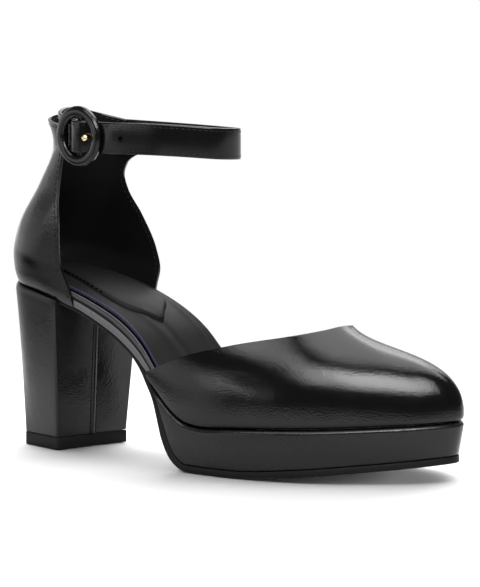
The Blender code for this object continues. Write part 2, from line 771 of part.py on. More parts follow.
def add_buckle(material):
    middle = (BUCKLE_OUTER_RADIUS + BUCKLE_INNER_RADIUS) / 2
    half = (BUCKLE_OUTER_RADIUS - BUCKLE_INNER_RADIUS) / 2
    bpy.ops.mesh.primitive_torus_add(major_radius=middle * MM, minor_radius=half * MM,
                                     major_segments=40, minor_segments=10)
    ring = bpy.context.object
    flatten = BUCKLE_THICKNESS / (2 * half)
    for vertex in ring.data.vertices:
        vertex.co.z *= flatten
    return place_at_buckle(ring, "buckle", material, 0.0, 0.0)


def place_at_buckle(part, name, material, along, out):
    """Stand a piece whose axis is its own Z so that the axis points out of the strap."""
    part.name = name
    part.data.name = name
    part.data.materials.clear()
    part.data.materials.append(material)
    for holder in list(part.users_collection):
        holder.objects.unlink(part)
    SHOE.objects.link(part)
    part.parent = ORIGIN
    part.location = buckle_point(along, out) * MM
    part.rotation_euler = (math.pi / 2, 0.0, -BUCKLE_TURN)
    return part


def add_bar(material):
    length = 2 * (BUCKLE_INNER_RADIUS - GAP)
    bpy.ops.mesh.primitive_cylinder_add(radius=BAR_RADIUS * MM, depth=length * MM, vertices=10)
    bar = bpy.context.object
    place_at_buckle(bar, "buckle_bar", material, 0.0, BAR_OUT)
    bar.rotation_euler = (0.0, 0.0, -BUCKLE_TURN)
    return bar


def prong_rings():
    """The prong: a round pin from the bar, out through the strap's hole, swelling to its tip."""
    line = np.array(PRONG)
    places = np.concatenate([[0.0], np.cumsum(np.hypot(*np.diff(line, axis=0).T))])
    path = smooth_curve(places, line)(np.linspace(0.0, places[-1], 7))
    end = path[-1]
    ahead = (path[-1] - path[-2]) / np.linalg.norm(path[-1] - path[-2])
    stations = [(spot, PRONG_RADIUS) for spot in path]
    for angle in np.radians(PRONG_TIP_ANGLES):
        reach = PRONG_TIP_RADIUS * (1.0 - math.cos(angle))
        stations.append((end + ahead * reach, PRONG_TIP_RADIUS * math.sin(angle)))
    spots = np.array([spot for spot, _ in stations])
    run = np.gradient(spots, axis=0)
    run = run / np.linalg.norm(run, axis=1, keepdims=True)
    rings = []
    for (spot, size), step in zip(stations, run):
        ring = []
        for turn in np.linspace(0.0, 2 * math.pi, 10, endpoint=False):
            across = np.array([-step[1], step[0]]) * math.cos(turn) * size
            along, out = spot + across
            ring.append(tuple(buckle_point(along, out, math.sin(turn) * size)))
        rings.append(ring)
    return rings


def cut_prong_hole(strap):
    """The punched hole that the prong passes through."""
    line = np.array(PRONG)
    middle = (line[1] + line[3]) / 2
    step = line[3] - line[1]
    bpy.ops.mesh.primitive_cylinder_add(radius=PUNCH_RADIUS * MM, depth=PUNCH_DEPTH * MM, vertices=12)
    punch = bpy.context.object
    punch.name = "prong_punch"
    for holder in list(punch.users_collection):
        holder.objects.unlink(punch)
    CUTTERS.objects.link(punch)
    punch.parent = ORIGIN
    punch.location = buckle_point(middle[0], middle[1]) * MM
    lean = math.atan2(step[0], step[1])
    punch.rotation_euler = (math.pi / 2, 0.0, -BUCKLE_TURN + lean)
    punch.hide_render = True
    punch.display_type = "WIRE"
    cut = strap.modifiers.new("prong_hole", "BOOLEAN")
    cut.operation = "DIFFERENCE"
    cut.object = punch


for old in list(bpy.data.objects):
    bpy.data.objects.remove(old)

SHOE = bpy.data.collections.new("block_heel_pump")
CUTTERS = bpy.data.collections.new("cutters")
bpy.context.scene.collection.children.link(SHOE)
bpy.context.scene.collection.children.link(CUTTERS)
ORIGIN = bpy.data.objects.new("shoe_origin", None)
ORIGIN.location = (-CENTRE_X * MM, -CENTRE_Y * MM, 0.0)
SHOE.objects.link(ORIGIN)

UPPER_LEATHER = new_material("upper_leather", (0.010, 0.010, 0.011), 0.22)
WRAP_LEATHER = new_material("wrap_leather", (0.012, 0.012, 0.013), 0.30)
SOCK_LEATHER = new_material("sock_leather", (0.014, 0.014, 0.015), 0.50)
SOLE_RUBBER = new_material("sole_rubber", (0.012, 0.011, 0.010), 0.65)
GOLD_METAL = new_material("gold_metal", (0.83, 0.58, 0.32), 0.22, 1.0)

add_loft("outsole", outsole_rings(10, 14, 20), SOLE_RUBBER)
add_loft("platform", platform_rings(38), WRAP_LEATHER)
add_loft("heel", heel_rings(4, 12), WRAP_LEATHER)
add_loft("heel_lift", lift_rings(12), SOLE_RUBBER)
add_loft("insole", insole_rings(40), SOCK_LEATHER)
add_loft("sock_pad", pad_rings(14), SOCK_LEATHER)
add_shell("vamp", vamp_grid(45, 10)[::-1], WALL, UPPER_LEATHER)
add_shell("quarter", quarter_grid(35, 22), WALL, UPPER_LEATHER)
front_strap = add_loft("front_strap", strap_rings(front_strap_path()), UPPER_LEATHER)
cut_prong_hole(front_strap)
add_loft("back_strap", strap_rings(back_strap_path()), UPPER_LEATHER)
add_buckle(UPPER_LEATHER)
add_bar(GOLD_METAL)
add_loft("prong", prong_rings(), GOLD_METAL)
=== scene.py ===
# %% [markdown]
# A block heel platform pump, dressed for its picture
#
# The shoe is a right one: polished black leather, open at the waist, with a covered heel, a leather
# platform and an ankle strap that closes with a round covered buckle. Its solids come from the packed
# model and stay where they are. This lesson makes a fine, smooth piece over each of them, because a
# polished surface shows every facet, and then gives each piece its leather, rubber, thread or metal.

# %% Load the frame
import math
from collections import namedtuple

import bpy
import numpy as np
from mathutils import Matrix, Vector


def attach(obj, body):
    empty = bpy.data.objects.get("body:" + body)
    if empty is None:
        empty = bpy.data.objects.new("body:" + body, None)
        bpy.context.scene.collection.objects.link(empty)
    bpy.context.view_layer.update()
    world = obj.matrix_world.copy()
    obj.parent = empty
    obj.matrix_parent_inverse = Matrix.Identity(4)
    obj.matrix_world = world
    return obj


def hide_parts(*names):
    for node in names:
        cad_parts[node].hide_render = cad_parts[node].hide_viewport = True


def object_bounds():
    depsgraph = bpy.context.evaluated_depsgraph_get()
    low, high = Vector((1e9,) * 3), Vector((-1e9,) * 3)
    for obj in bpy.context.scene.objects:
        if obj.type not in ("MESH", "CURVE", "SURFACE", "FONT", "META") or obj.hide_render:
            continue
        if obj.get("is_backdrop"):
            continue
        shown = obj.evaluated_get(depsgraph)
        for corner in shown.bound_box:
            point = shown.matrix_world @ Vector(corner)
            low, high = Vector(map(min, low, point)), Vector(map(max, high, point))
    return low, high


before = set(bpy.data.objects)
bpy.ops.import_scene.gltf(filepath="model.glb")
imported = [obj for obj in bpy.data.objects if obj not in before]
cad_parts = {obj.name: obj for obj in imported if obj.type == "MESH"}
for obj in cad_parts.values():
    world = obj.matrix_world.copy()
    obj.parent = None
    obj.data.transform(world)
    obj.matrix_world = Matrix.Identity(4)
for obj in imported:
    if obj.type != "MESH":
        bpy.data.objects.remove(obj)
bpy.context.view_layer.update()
MM = 0.001
CENTRE = np.array([119.89, -0.20, 0.0])
print("solids:", ", ".join(sorted(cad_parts)))

# %% [markdown]
# The camera stands where the photographer's did: a long lens, a little above the shoe and towards its
# toe. With a long lens the near and far sides keep almost one scale, so the focal length and the
# distance were settled together, from the widths of the heel and of the platform.

# %% Camera
PHOTO_HEIGHT = 587
FOCAL_PIXELS = 4000.0
SENSOR = 36.0
CAMERA_PLACE = (0.95688, -1.62207, 0.34529)
CAMERA_TURN = 30.42
CAMERA_TILT = 7.99

lens = bpy.data.cameras.new("photo_camera")
lens.sensor_width = SENSOR
lens.lens = FOCAL_PIXELS * SENSOR / PHOTO_HEIGHT
camera = bpy.data.objects.new("photo_camera", lens)
camera.location = CAMERA_PLACE
camera.rotation_euler = (math.radians(90.0 - CAMERA_TILT), 0.0, math.radians(CAMERA_TURN))
bpy.context.scene.collection.objects.link(camera)
bpy.context.scene.camera = camera
print("lens in mm:", round(lens.lens, 1))

# %% [markdown]
# Every material here is a small network of nodes. One function adds a node with its settings, values
# and links, and one turns the colours that a paint shop would write down, sRGB hex, into the linear
# values that the renderer needs.

# %% Colour and node helpers


def linear(code):
    """An sRGB hex colour as linear red, green, blue and a full alpha."""
    parts = [int(code[start:start + 2], 16) / 255.0 for start in (0, 2, 4)]
    return [*(part / 12.92 if part <= 0.04045 else ((part + 0.055) / 1.055) ** 2.4 for part in parts), 1.0]


def add_node(tree, kind, values=None, links=None, **settings):
    """Add a node, set its properties and socket values, and link sockets of earlier nodes to it."""
    node = tree.nodes.new(kind)
    for key, value in settings.items():
        setattr(node, key, value)
    for key, value in (values or {}).items():
        node.inputs[key].default_value = value
    for key, socket in (links or {}).items():
        tree.links.new(socket, node.inputs[key])
    return node


# %% [markdown]
# The studio is a pale floor with soft boxes over the camera's shoulders, large panels above and behind the
# shoe, a low window and white cards. Polished black leather has almost no colour of its own: what the eye
# reads is the shape of these lights in it. The deep black between the highlights is a painted dark
# reflection: beyond the table's front, before the heel and left of it, the paper is painted near black for
# reflections alone, where a studio would hang black cloth and flags, and the camera still sees it white.
# Each painted patch before and left of the heel fades from nothing to full across its four sides. The floor
# is a paper sweep with three lights of its own, which leave the shoe out: near the shoe they draw its soft
# shadow, and further off the paper is lit until it is pure white, as the backdrop is.

# %% Floor, lights and backdrop
FLOOR_SIZE = 24.0
FLOOR_DROP = 0.0003
WHITE = linear("ffffff")
PAPER_COLOUR = "d9d9d9"
PAPER_ROUGHNESS = 0.9
PAPER_SHEEN = 0.1
PAPER_NEAR = 0.18
PAPER_FAR = 0.42
# Beyond these distances in front of the shoe, and inside the patches below, the paper is painted near black
# for reflections alone: a painted dark reflection.
TABLE_NEAR = 0.60
TABLE_END = 0.90
FlagRow = namedtuple("FlagRow", "right right_full left left_full back back_full front front_full")
REFLECTION_SHADE_PATCHES = [
    FlagRow(-0.05, -0.08, -0.16, -0.13, -0.15, -0.25, -2.0, -1.9),
    FlagRow(-0.15, -0.32, -0.90, -0.33, 0.06, -0.13, -0.40, -0.16),
]
# Strength of the painted dark reflection.
DARK = 0.03
ROOM_LIGHT = 0.10
BACKDROP_LIGHT = 1.0
FLOOR_LIGHTS = ("floor_overhead", "floor_backlight", "floor_toe_light")
StudioLight = namedtuple("StudioLight", "name turn height distance width depth radiance")
LIGHTS = [
    StudioLight("over_shoulder_box", 49.5, 45.0, 1.5, 0.74, 0.66, 15.0),
    StudioLight("shoulder_side_box", 18.0, 44.0, 1.5, 0.55, 0.62, 7.5),
    StudioLight("top_panel", 164.0, 74.5, 1.9, 1.3, 2.15, 4.6),
    StudioLight("back_panel", -165.0, 45.0, 1.9, 1.3, 1.2, 3.6),
    StudioLight("fill_box", -24.0, 56.0, 1.6, 0.75, 0.62, 4.6),
    StudioLight("low_window", -25.0, 12.5, 1.5, 0.75, 0.27, 3.0),
    StudioLight("heel_side_card", -68.0, 9.0, 1.5, 2.0, 0.45, 1.2),
    StudioLight("backdrop_card", -140.0, 12.0, 1.9, 3.0, 1.6, 0.75),
    StudioLight("floor_overhead", -150.0, 74.0, 4.0, 7.0, 4.4, 3.5),
    StudioLight("floor_backlight", -150.0, 30.0, 4.0, 7.4, 1.8, 11.0),
    StudioLight("floor_toe_light", 122.0, 8.0, 3.0, 1.1, 0.7, 55.0),
]


def studio_direction(turn, height):
    """Unit vector to a light: turn 0 is the near side and 90 the toe's side, height is above the floor."""
    turn, height = math.radians(turn), math.radians(height)
    level = math.cos(height)
    return np.array([math.sin(turn) * level, -math.cos(turn) * level, math.sin(height)])


def aim(thing, towards):
    """Turn an object so that its own -Z points along a direction."""
    x, y, z = towards
    thing.rotation_euler = (math.atan2(math.hypot(x, y), -z), 0.0, math.atan2(-x, y))


bpy.ops.object.select_all(action="DESELECT")
bpy.ops.mesh.primitive_plane_add(size=FLOOR_SIZE, location=(0.0, 0.0, -FLOOR_DROP))
floor = bpy.context.object
floor.name = "studio_floor"
paper = bpy.data.materials.new("matt_white_paper_sweep")
paper.use_nodes = True
sheet = paper.node_tree
near = sheet.nodes["Principled BSDF"]
near.inputs["Base Color"].default_value = linear(PAPER_COLOUR)
near.inputs["Roughness"].default_value = PAPER_ROUGHNESS
near.inputs["Specular IOR Level"].default_value = PAPER_SHEEN
spot = add_node(sheet, "ShaderNodeTexCoord").outputs["Object"]
distance = add_node(sheet, "ShaderNodeVectorMath", None, {0: spot}, operation="LENGTH")
fade = add_node(sheet, "ShaderNodeMapRange", {"From Min": PAPER_NEAR, "From Max": PAPER_FAR},
                {"Value": distance.outputs["Value"]}, interpolation_type="SMOOTHSTEP")
towards_camera = (math.sin(math.radians(CAMERA_TURN)), -math.cos(math.radians(CAMERA_TURN)), 0.0)
ahead = add_node(sheet, "ShaderNodeVectorMath", {1: towards_camera}, {0: spot}, operation="DOT_PRODUCT")
table = add_node(sheet, "ShaderNodeMapRange", {"From Min": TABLE_NEAR, "From Max": TABLE_END},
                 {"Value": ahead.outputs["Value"]}, interpolation_type="SMOOTHSTEP")
axes = add_node(sheet, "ShaderNodeSeparateXYZ", None, {0: spot})
# Mask of the painted dark reflection: the paper's far front and each painted shade patch, whose four sides
# fade from nothing to full.
dark = table
for row in REFLECTION_SHADE_PATCHES:
    shade_patch = None
    for low, high, axis in ((row.right, row.right_full, 0), (row.left, row.left_full, 0),
                            (row.back, row.back_full, 1), (row.front, row.front_full, 1)):
        side = add_node(sheet, "ShaderNodeMapRange", {"From Min": low, "From Max": high},
                        {"Value": axes.outputs[axis]}, interpolation_type="SMOOTHSTEP")
        if shade_patch is not None:
            both = {0: shade_patch.outputs[0], 1: side.outputs[0]}
            side = add_node(sheet, "ShaderNodeMath", None, both, operation="MULTIPLY")
        shade_patch = side
    both = {0: dark.outputs[0], 1: shade_patch.outputs[0]}
    dark = add_node(sheet, "ShaderNodeMath", None, both, operation="MAXIMUM")
# Where the mask is, the paper is painted near black for reflection rays alone, a painted dark reflection;
# the camera sees white paper.
sight = add_node(sheet, "ShaderNodeLightPath").outputs["Is Camera Ray"]
unseen = add_node(sheet, "ShaderNodeMath", {0: 1.0}, {1: sight}, operation="SUBTRACT")
both = {0: dark.outputs[0], 1: unseen.outputs[0]}
painted_reflection_shade = add_node(sheet, "ShaderNodeMath", None, both, operation="MULTIPLY")
far = add_node(sheet, "ShaderNodeEmission", {"Color": WHITE, "Strength": BACKDROP_LIGHT})
black = add_node(sheet, "ShaderNodeEmission", {"Color": WHITE, "Strength": DARK})
white = add_node(sheet, "ShaderNodeMixShader", None,
                 {0: fade.outputs[0], 1: near.outputs[0], 2: far.outputs[0]})
whole = add_node(sheet, "ShaderNodeMixShader", None,
                 {0: painted_reflection_shade.outputs[0], 1: white.outputs[0], 2: black.outputs[0]})
sheet.links.new(whole.outputs[0], sheet.nodes["Material Output"].inputs["Surface"])
floor.data.materials.append(paper)
floor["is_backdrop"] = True

floor_alone = bpy.data.collections.new("floor_alone")
floor_alone.objects.link(floor)
floor_left_out = bpy.data.collections.new("floor_left_out")
floor_left_out.objects.link(floor)
floor_left_out.collection_objects[0].light_linking.link_state = "EXCLUDE"
for row in LIGHTS:
    lamp = bpy.data.lights.new(row.name, "AREA")
    lamp.shape = "RECTANGLE"
    lamp.size = row.width
    lamp.size_y = row.depth
    lamp.energy = row.radiance * math.pi * row.width * row.depth
    holder = bpy.data.objects.new(row.name, lamp)
    direction = studio_direction(row.turn, row.height)
    holder.location = direction * row.distance
    aim(holder, -direction)
    holder.visible_camera = False
    holder.light_linking.receiver_collection = floor_alone if row.name in FLOOR_LIGHTS else floor_left_out
    bpy.context.scene.collection.objects.link(holder)

room = bpy.data.worlds.new("studio_room")
room.use_nodes = True
room.node_tree.nodes.clear()
dim = add_node(room.node_tree, "ShaderNodeBackground", {"Color": WHITE, "Strength": ROOM_LIGHT})
backdrop = add_node(room.node_tree, "ShaderNodeBackground", {"Color": WHITE, "Strength": BACKDROP_LIGHT})
path = add_node(room.node_tree, "ShaderNodeLightPath")
choice = add_node(room.node_tree, "ShaderNodeMixShader", None,
                  {0: path.outputs["Is Camera Ray"], 1: dim.outputs[0], 2: backdrop.outputs[0]})
add_node(room.node_tree, "ShaderNodeOutputWorld", None, {"Surface": choice.outputs[0]})
bpy.context.scene.world = room
bpy.context.scene.view_settings.view_transform = "Standard"
print("lights:", [(row.name, round(row.radiance, 1)) for row in LIGHTS])

# %% [markdown]
# The shoe grows from its last, the wooden foot that a maker pulls leather over. Three lines carry it:
# the feather edge seen from above, the height of that edge along the foot, and the outsole's line. They
# are the same short tables as in the solids, in millimetres, X from the heel's back to the toe, Y to the
# inner side and Z up.

# %% The last's lines
WALL = 1.5
GAP = 0.35
FOOT_SKEW = 0.15
EDGE_COUNT = 3001
SOFTEN_SAMPLES = 13
SOFTEN_FALL = 3.0
EdgeRow = namedtuple("EdgeRow", "station x y")
EDGE = [
    EdgeRow("heel_back", 2.0, -1.5),
    EdgeRow("heel_outer_corner", 9.5, -19.0),
    EdgeRow("seat_outer", 29.0, -26.5),
    EdgeRow("breast_outer", 48.0, -27.6),
    EdgeRow("waist_outer", 74.0, -27.8),
    EdgeRow("vamp_outer", 90.0, -29.8),
    EdgeRow("joint_outer", 111.0, -35.4),
    EdgeRow("ball_outer", 140.0, -38.3),
    EdgeRow("toe_outer", 172.0, -34.0),
    EdgeRow("cap_outer", 207.0, -18.5),
    EdgeRow("tip_outer", 227.4, -4.5),
    EdgeRow("tip", 237.8, 9.5),
    EdgeRow("cap_inner", 226.0, 27.5),
    EdgeRow("toe_inner", 203.0, 36.0),
    EdgeRow("ball_inner", 172.0, 38.0),
    EdgeRow("joint_inner", 143.0, 34.5),
    EdgeRow("vamp_inner", 108.0, 28.8),
    EdgeRow("waist_inner", 80.0, 26.5),
    EdgeRow("breast_inner", 55.0, 25.5),
    EdgeRow("seat_inner", 31.0, 22.8),
    EdgeRow("heel_inner_corner", 10.0, 15.2),
]
ProfileRow = namedtuple("ProfileRow", "along height")
LAST_BOTTOM = [ProfileRow(*row) for row in (
    (0.0, 82.0), (25.0, 78.9), (40.0, 75.4), (52.0, 71.6), (64.0, 65.8), (76.0, 58.6), (88.0, 49.2),
    (97.0, 39.4), (105.0, 31.9), (113.0, 26.1), (121.0, 22.7), (130.0, 21.8), (146.0, 22.9),
    (200.0, 25.8), (245.0, 28.4),
)]
OUTSOLE_THICKNESS = 3.2
TREAD_START = 121.5
OUTSOLE_TOP = [ProfileRow(*row) for row in (
    (95.0, 40.5), (101.3, 32.0), (105.7, 22.0), (110.3, 12.0), (115.2, 6.0),
    (TREAD_START, OUTSOLE_THICKNESS), (147.0, OUTSOLE_THICKNESS), (175.0, 5.2), (205.0, 8.4),
    (240.0, 12.2),
)]


def unit(vectors):
    """Vectors drawn to a length of one."""
    return vectors / np.maximum(np.linalg.norm(vectors, axis=-1, keepdims=True), 1e-9)


def places_along(points):
    """How far along a line of points each of them lies."""
    return np.concatenate([[0.0], np.cumsum(np.linalg.norm(np.diff(points, axis=0), axis=1))])


def smooth_curve(knots, values, level=False):
    """A cubic through the rows whose slope at each row comes from its two neighbours.

    With level set, a row that is a peak, a dip or the end of a flat run keeps a slope of zero.
    """
    knots = np.asarray(knots, float)
    values = np.asarray(values, float)
    gaps = np.diff(knots)[:, None]
    secants = np.diff(values, axis=0) / gaps
    before, after = secants[:-1], secants[1:]
    mean = (before * gaps[1:] + after * gaps[:-1]) / (gaps[1:] + gaps[:-1])
    if level:
        product = before * after
        total = np.where(before + after == 0.0, 1.0, before + after)
        mean = np.where(product > 0.0, 2.0 * product / total, 0.0)
    slopes = np.vstack([secants[:1], mean, secants[-1:]])

    def at(where):
        where = np.asarray(where, float)
        row = np.clip(np.searchsorted(knots, where, side="right") - 1, 0, len(knots) - 2)
        span = gaps[row]
        part = (where[..., None] - knots[row][..., None]) / span
        start = (values[row] * (1 + 2 * part) + slopes[row] * span * part) * (1 - part) ** 2
        end = (values[row + 1] * (3 - 2 * part) + slopes[row + 1] * span * (part - 1)) * part ** 2
        return start + end

    return at


def softened(curve, first, last, width):
    """The same curve with its small kinks averaged out over a short width, and its two ends held."""
    steps = np.linspace(-1.0, 1.0, SOFTEN_SAMPLES)
    weights = np.exp(-SOFTEN_FALL * steps ** 2)
    weights = (weights / weights.sum())[:, None]

    def at(where):
        spots = np.asarray(where, float)[..., None] + steps * width
        low, high = spots < first, spots > last
        mirrored = np.where(low, 2 * first - spots, np.where(high, 2 * last - spots, spots))
        values = curve(mirrored)
        values = np.where(low[..., None], 2 * curve(first) - values, values)
        values = np.where(high[..., None], 2 * curve(last) - values, values)
        return (values * weights).sum(axis=-2)

    return at


def table_curve(table, level=False, width=0.0):
    """The curve of a table's later columns over its first one, softened if a width is given."""
    rows = np.array(table, float)
    curve = smooth_curve(rows[:, 0], rows[:, 1:], level)
    return softened(curve, rows[0, 0], rows[-1, 0], width) if width else curve


def closed_edge(width):
    """The closed feather edge, its stations' places along it, and its length."""
    points = np.array([(row.x, row.y) for row in EDGE])
    ring = np.vstack([points, points[:1]])
    places = places_along(ring)
    length = places[-1]
    lead = slice(len(points) - 3, len(points))
    knots = np.concatenate([places[lead] - length, places, places[1:4] + length])
    values = np.vstack([points[lead], ring, points[1:4]])
    stations = {row.station: place for row, place in zip(EDGE, places)}
    return softened(smooth_curve(knots, values), knots[0], knots[-1], width), stations, length


edge_at, STATION, EDGE_LENGTH = closed_edge(width=5.0)
bottom_curve = table_curve(LAST_BOTTOM, level=True, width=4.0)
outsole_curve = table_curve(OUTSOLE_TOP, level=True, width=2.0)


def bottom_height(x, y):
    """Height of the upper's lower edge and of the insole's underside."""
    along = np.asarray(x) - FOOT_SKEW * np.asarray(y)
    return bottom_curve(np.clip(along, LAST_BOTTOM[0].along, LAST_BOTTOM[-1].along))[..., 0]


def edge_outward(place):
    """Unit vector square to the feather edge, pointing away from the foot."""
    step = 0.5
    run = edge_at(np.asarray(place) + step) - edge_at(np.asarray(place) - step)
    out = np.stack([run[..., 1], -run[..., 0]], axis=-1)
    return unit(out)


EDGE_SAMPLES = np.linspace(0.0, EDGE_LENGTH, EDGE_COUNT)
EDGE_POINTS = edge_at(EDGE_SAMPLES)
EDGE_OUTWARD = edge_outward(EDGE_SAMPLES)


def moved_edge(skew, inset):
    """The feather edge moved in, and how far along the foot a skewed line through each point lies."""
    points = EDGE_POINTS - EDGE_OUTWARD * inset
    return points, points[:, 0] - skew * points[:, 1]


def sides_at(along, skew, inset):
    """Outer and inner edge points where skewed lines across the foot meet the edge, moved in."""
    points, reach = moved_edge(skew, inset)
    first = int(np.argmin(reach))
    order = np.roll(np.arange(len(reach) - 1), -first)
    last = int(np.argmax(reach[order]))
    halves = (order[:last + 1], np.concatenate([order[last:], order[:1]])[::-1])
    sides = []
    for half in halves:
        rising = np.maximum.accumulate(reach[half])
        sides.append(np.stack([np.interp(along, rising, points[half, axis]) for axis in (0, 1)], axis=-1))
    return sides


def reach_limits(skew, inset):
    """First and last places along the foot where a skewed line touches the moved-in edge."""
    reach = moved_edge(skew, inset)[1]
    return reach.min(), reach.max()


print("feather edge in mm:", round(EDGE_LENGTH, 1))

# %% [markdown]
# Pulled leather has no flat faces and no even sections, so extruding and bevelling a box can't give it.
# A piece of the upper or of the sole therefore starts as a flat grid, as leather starts as a flat hide,
# and every point of the grid is carried to its place on the last. A closed form is a grid whose two side
# edges meet: its doubles are merged and its open ends are filled. Walls, rounded rims and cuts are then
# modifiers that are applied, as they would be by hand.

# %% Modelling helpers
MERGE_DISTANCE = 1e-6
BEVEL_SEGMENTS = 3


def only(piece):
    """Make one object the selected and active one."""
    bpy.ops.object.select_all(action="DESELECT")
    piece.select_set(True)
    bpy.context.view_layer.objects.active = piece


def close_up(piece, fill=False):
    """Merge a piece's doubles, fill its open ends if asked, and turn its faces outwards."""
    only(piece)
    bpy.ops.object.mode_set(mode="EDIT")
    bpy.ops.mesh.select_all(action="SELECT")
    bpy.ops.mesh.remove_doubles(threshold=MERGE_DISTANCE)
    if fill:
        bpy.ops.mesh.fill_holes(sides=0)
        bpy.ops.mesh.select_all(action="SELECT")
    bpy.ops.mesh.normals_make_consistent(inside=False)
    bpy.ops.object.mode_set(mode="OBJECT")


def formed(name, grid, ring=False):
    """Add a flat grid and carry its points to the places in an array of rows and columns, in mm."""
    rows, columns = grid.shape[:2]
    bpy.ops.object.select_all(action="DESELECT")
    bpy.ops.mesh.primitive_grid_add(x_subdivisions=columns - 1, y_subdivisions=rows - 1, size=2.0)
    piece = bpy.context.object
    piece.name = name
    piece.data.name = name
    flat = np.empty(len(piece.data.vertices) * 3)
    piece.data.vertices.foreach_get("co", flat)
    flat = flat.reshape(-1, 3)
    column = np.rint((flat[:, 0] + 1.0) / 2.0 * (columns - 1)).astype(int)
    row = np.rint((flat[:, 1] + 1.0) / 2.0 * (rows - 1)).astype(int)
    piece.data.vertices.foreach_set("co", ((grid[row, column] - CENTRE) * MM).ravel())
    piece.data.update()
    if ring:
        close_up(piece, fill=True)
    return piece


def apply_modifier(piece, kind, **settings):
    """Add a modifier with its settings and apply it."""
    modifier = piece.modifiers.new(kind.lower(), kind)
    for key, value in settings.items():
        setattr(modifier, key, value)
    only(piece)
    bpy.ops.object.modifier_apply(modifier=modifier.name)


def round_edges(piece, width, sharper_than=50.0):
    """Round every edge that is sharper than an angle."""
    apply_modifier(piece, "BEVEL", width=width * MM, segments=BEVEL_SEGMENTS, limit_method="ANGLE",
                   angle_limit=math.radians(sharper_than))


def cover(piece, *materials):
    """Give a piece its materials, in the order of its material slots."""
    piece.data.materials.clear()
    for material in materials:
        piece.data.materials.append(material)


def dress(piece, node=None, materials=(), sharper_than=40.0):
    """Shade a piece smooth, cover it, put it on the shoe and hide the solid it stands for."""
    only(piece)
    bpy.ops.object.shade_smooth_by_angle(angle=math.radians(sharper_than))
    if materials:
        cover(piece, *materials)
    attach(piece, "root")
    if node:
        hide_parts(node)
    print(piece.name, "faces:", len(piece.data.polygons))


def run_of(points):
    """Unit steps along a line of points."""
    return unit(np.gradient(points, axis=0))


def grid_outward(grid):
    """Unit normals of a grid of points, on the side that a face of the formed grid shows."""
    return unit(np.cross(np.gradient(grid, axis=1), np.gradient(grid, axis=0)))


# %% [markdown]
# Box calf is the leather here: a tight, smooth grain that was glazed under a glass roller and then waxed.
# The eye gets a deep black, soft-edged highlights, and a fine pebble that only shows where a highlight
# ends. The grain cell of such a hide is about 0.3 mm, which is less than a pixel, so it is drawn coarser,
# at 0.8 mm. A slower unevenness, a few millimetres wide, is the pull of the hide over the last. The
# wrapped heel and platform have the same leather with less wax, in cloudy patches of gloss, and the strap's
# is finer and duller. The sock and the lining are soft, matt sheepskin. The rand round the insole is satin
# leather whose light grey colour is painted sheen: the grey paints in the one light band of reflected light
# along it.

# %% Leather
GRAIN_MM = 0.8
PULL_MM = 9.0
PATCH_MM = 22.5
NOISE_LOW = 0.3
NOISE_HIGH = 0.7


def surface(name, colour, rough, ior, spread, noise_mm, detail):
    """A new material whose gloss is spread by a noise, with its shader, its places and the noise."""
    material = bpy.data.materials.new(name)
    material.use_nodes = True
    tree = material.node_tree
    shader = tree.nodes["Principled BSDF"]
    shader.inputs["Base Color"].default_value = linear(colour)
    shader.inputs["IOR"].default_value = ior
    place = add_node(tree, "ShaderNodeTexCoord").outputs["Object"]
    noise = add_node(tree, "ShaderNodeTexNoise", {"Scale": 1.0 / (noise_mm * MM), "Detail": detail},
                     {"Vector": place}).outputs[0]
    gloss = add_node(tree, "ShaderNodeMapRange",
                     {"From Min": NOISE_LOW, "From Max": NOISE_HIGH, "To Min": rough * (1.0 - spread),
                      "To Max": rough * (1.0 + spread)}, {"Value": noise})
    tree.links.new(gloss.outputs[0], shader.inputs["Roughness"])
    return material, shader, place, noise


def leather(name, colour, rough, ior, grain, pull, blotch=0.15):
    """Grained leather: colour, gloss, depth of its grain and slow unevenness in mm, spread of its gloss."""
    material, shader, place, _ = surface(name, colour, rough, ior, blotch, PATCH_MM, detail=3.0)
    tree = material.node_tree
    cells = add_node(tree, "ShaderNodeTexVoronoi", {"Scale": 1.0 / (GRAIN_MM * MM)}, {"Vector": place})
    waves = add_node(tree, "ShaderNodeTexNoise", {"Scale": 1.0 / (PULL_MM * MM), "Detail": 2.0},
                     {"Vector": place})
    slow = add_node(tree, "ShaderNodeBump", {"Strength": 1.0, "Distance": pull * MM},
                    {"Height": waves.outputs[0]})
    fine = add_node(tree, "ShaderNodeBump", {"Strength": 1.0, "Distance": grain * MM},
                    {"Height": cells.outputs["Distance"], "Normal": slow.outputs[0]})
    tree.links.new(fine.outputs[0], shader.inputs["Normal"])
    return material


CALF = leather("glazed_box_calf", "060607", 0.14, 1.38, 0.05, 0.10)
WRAP = leather("wrapped_calf", "101011", 0.25, 1.37, 0.045, 0.16, blotch=0.45)
STRAP_CALF = leather("strap_calf", "070708", 0.20, 1.38, 0.018, 0.05)
# The rand's light grey is painted sheen: it paints the light band that the rand reflects.
RAND_PAINTED_SHEEN = leather("rand_leather_painted_sheen", "48484b", 0.30, 1.45, 0.010, 0.03)
LINING = leather("lining_sheepskin", "080707", 0.70, 1.18, 0.03, 0.05)
SOCK = leather("sock_sheepskin", "121213", 0.50, 1.155, 0.03, 0.05)
print("leathers:", [material.name for material in (CALF, WRAP, STRAP_CALF, RAND_PAINTED_SHEEN, LINING, SOCK)])

# %% [markdown]
# The outsole and the heel's top piece are moulded rubber, matt from the tumbling that cleans them, with a
# fine even grit. The tread face has a brown tone. Thread is bonded nylon, twisted so finely that only its
# dull sheen shows, and the sock's is waxed until it has none. The insole's lip has a satin edge paint, and
# its line is a deep violet ink. The prong is brass with a polished pale gold plating, and the bar under the
# strap is blackened steel.

# %% Rubber, thread, paint and metal
GLOSS_SPREAD = 0.2


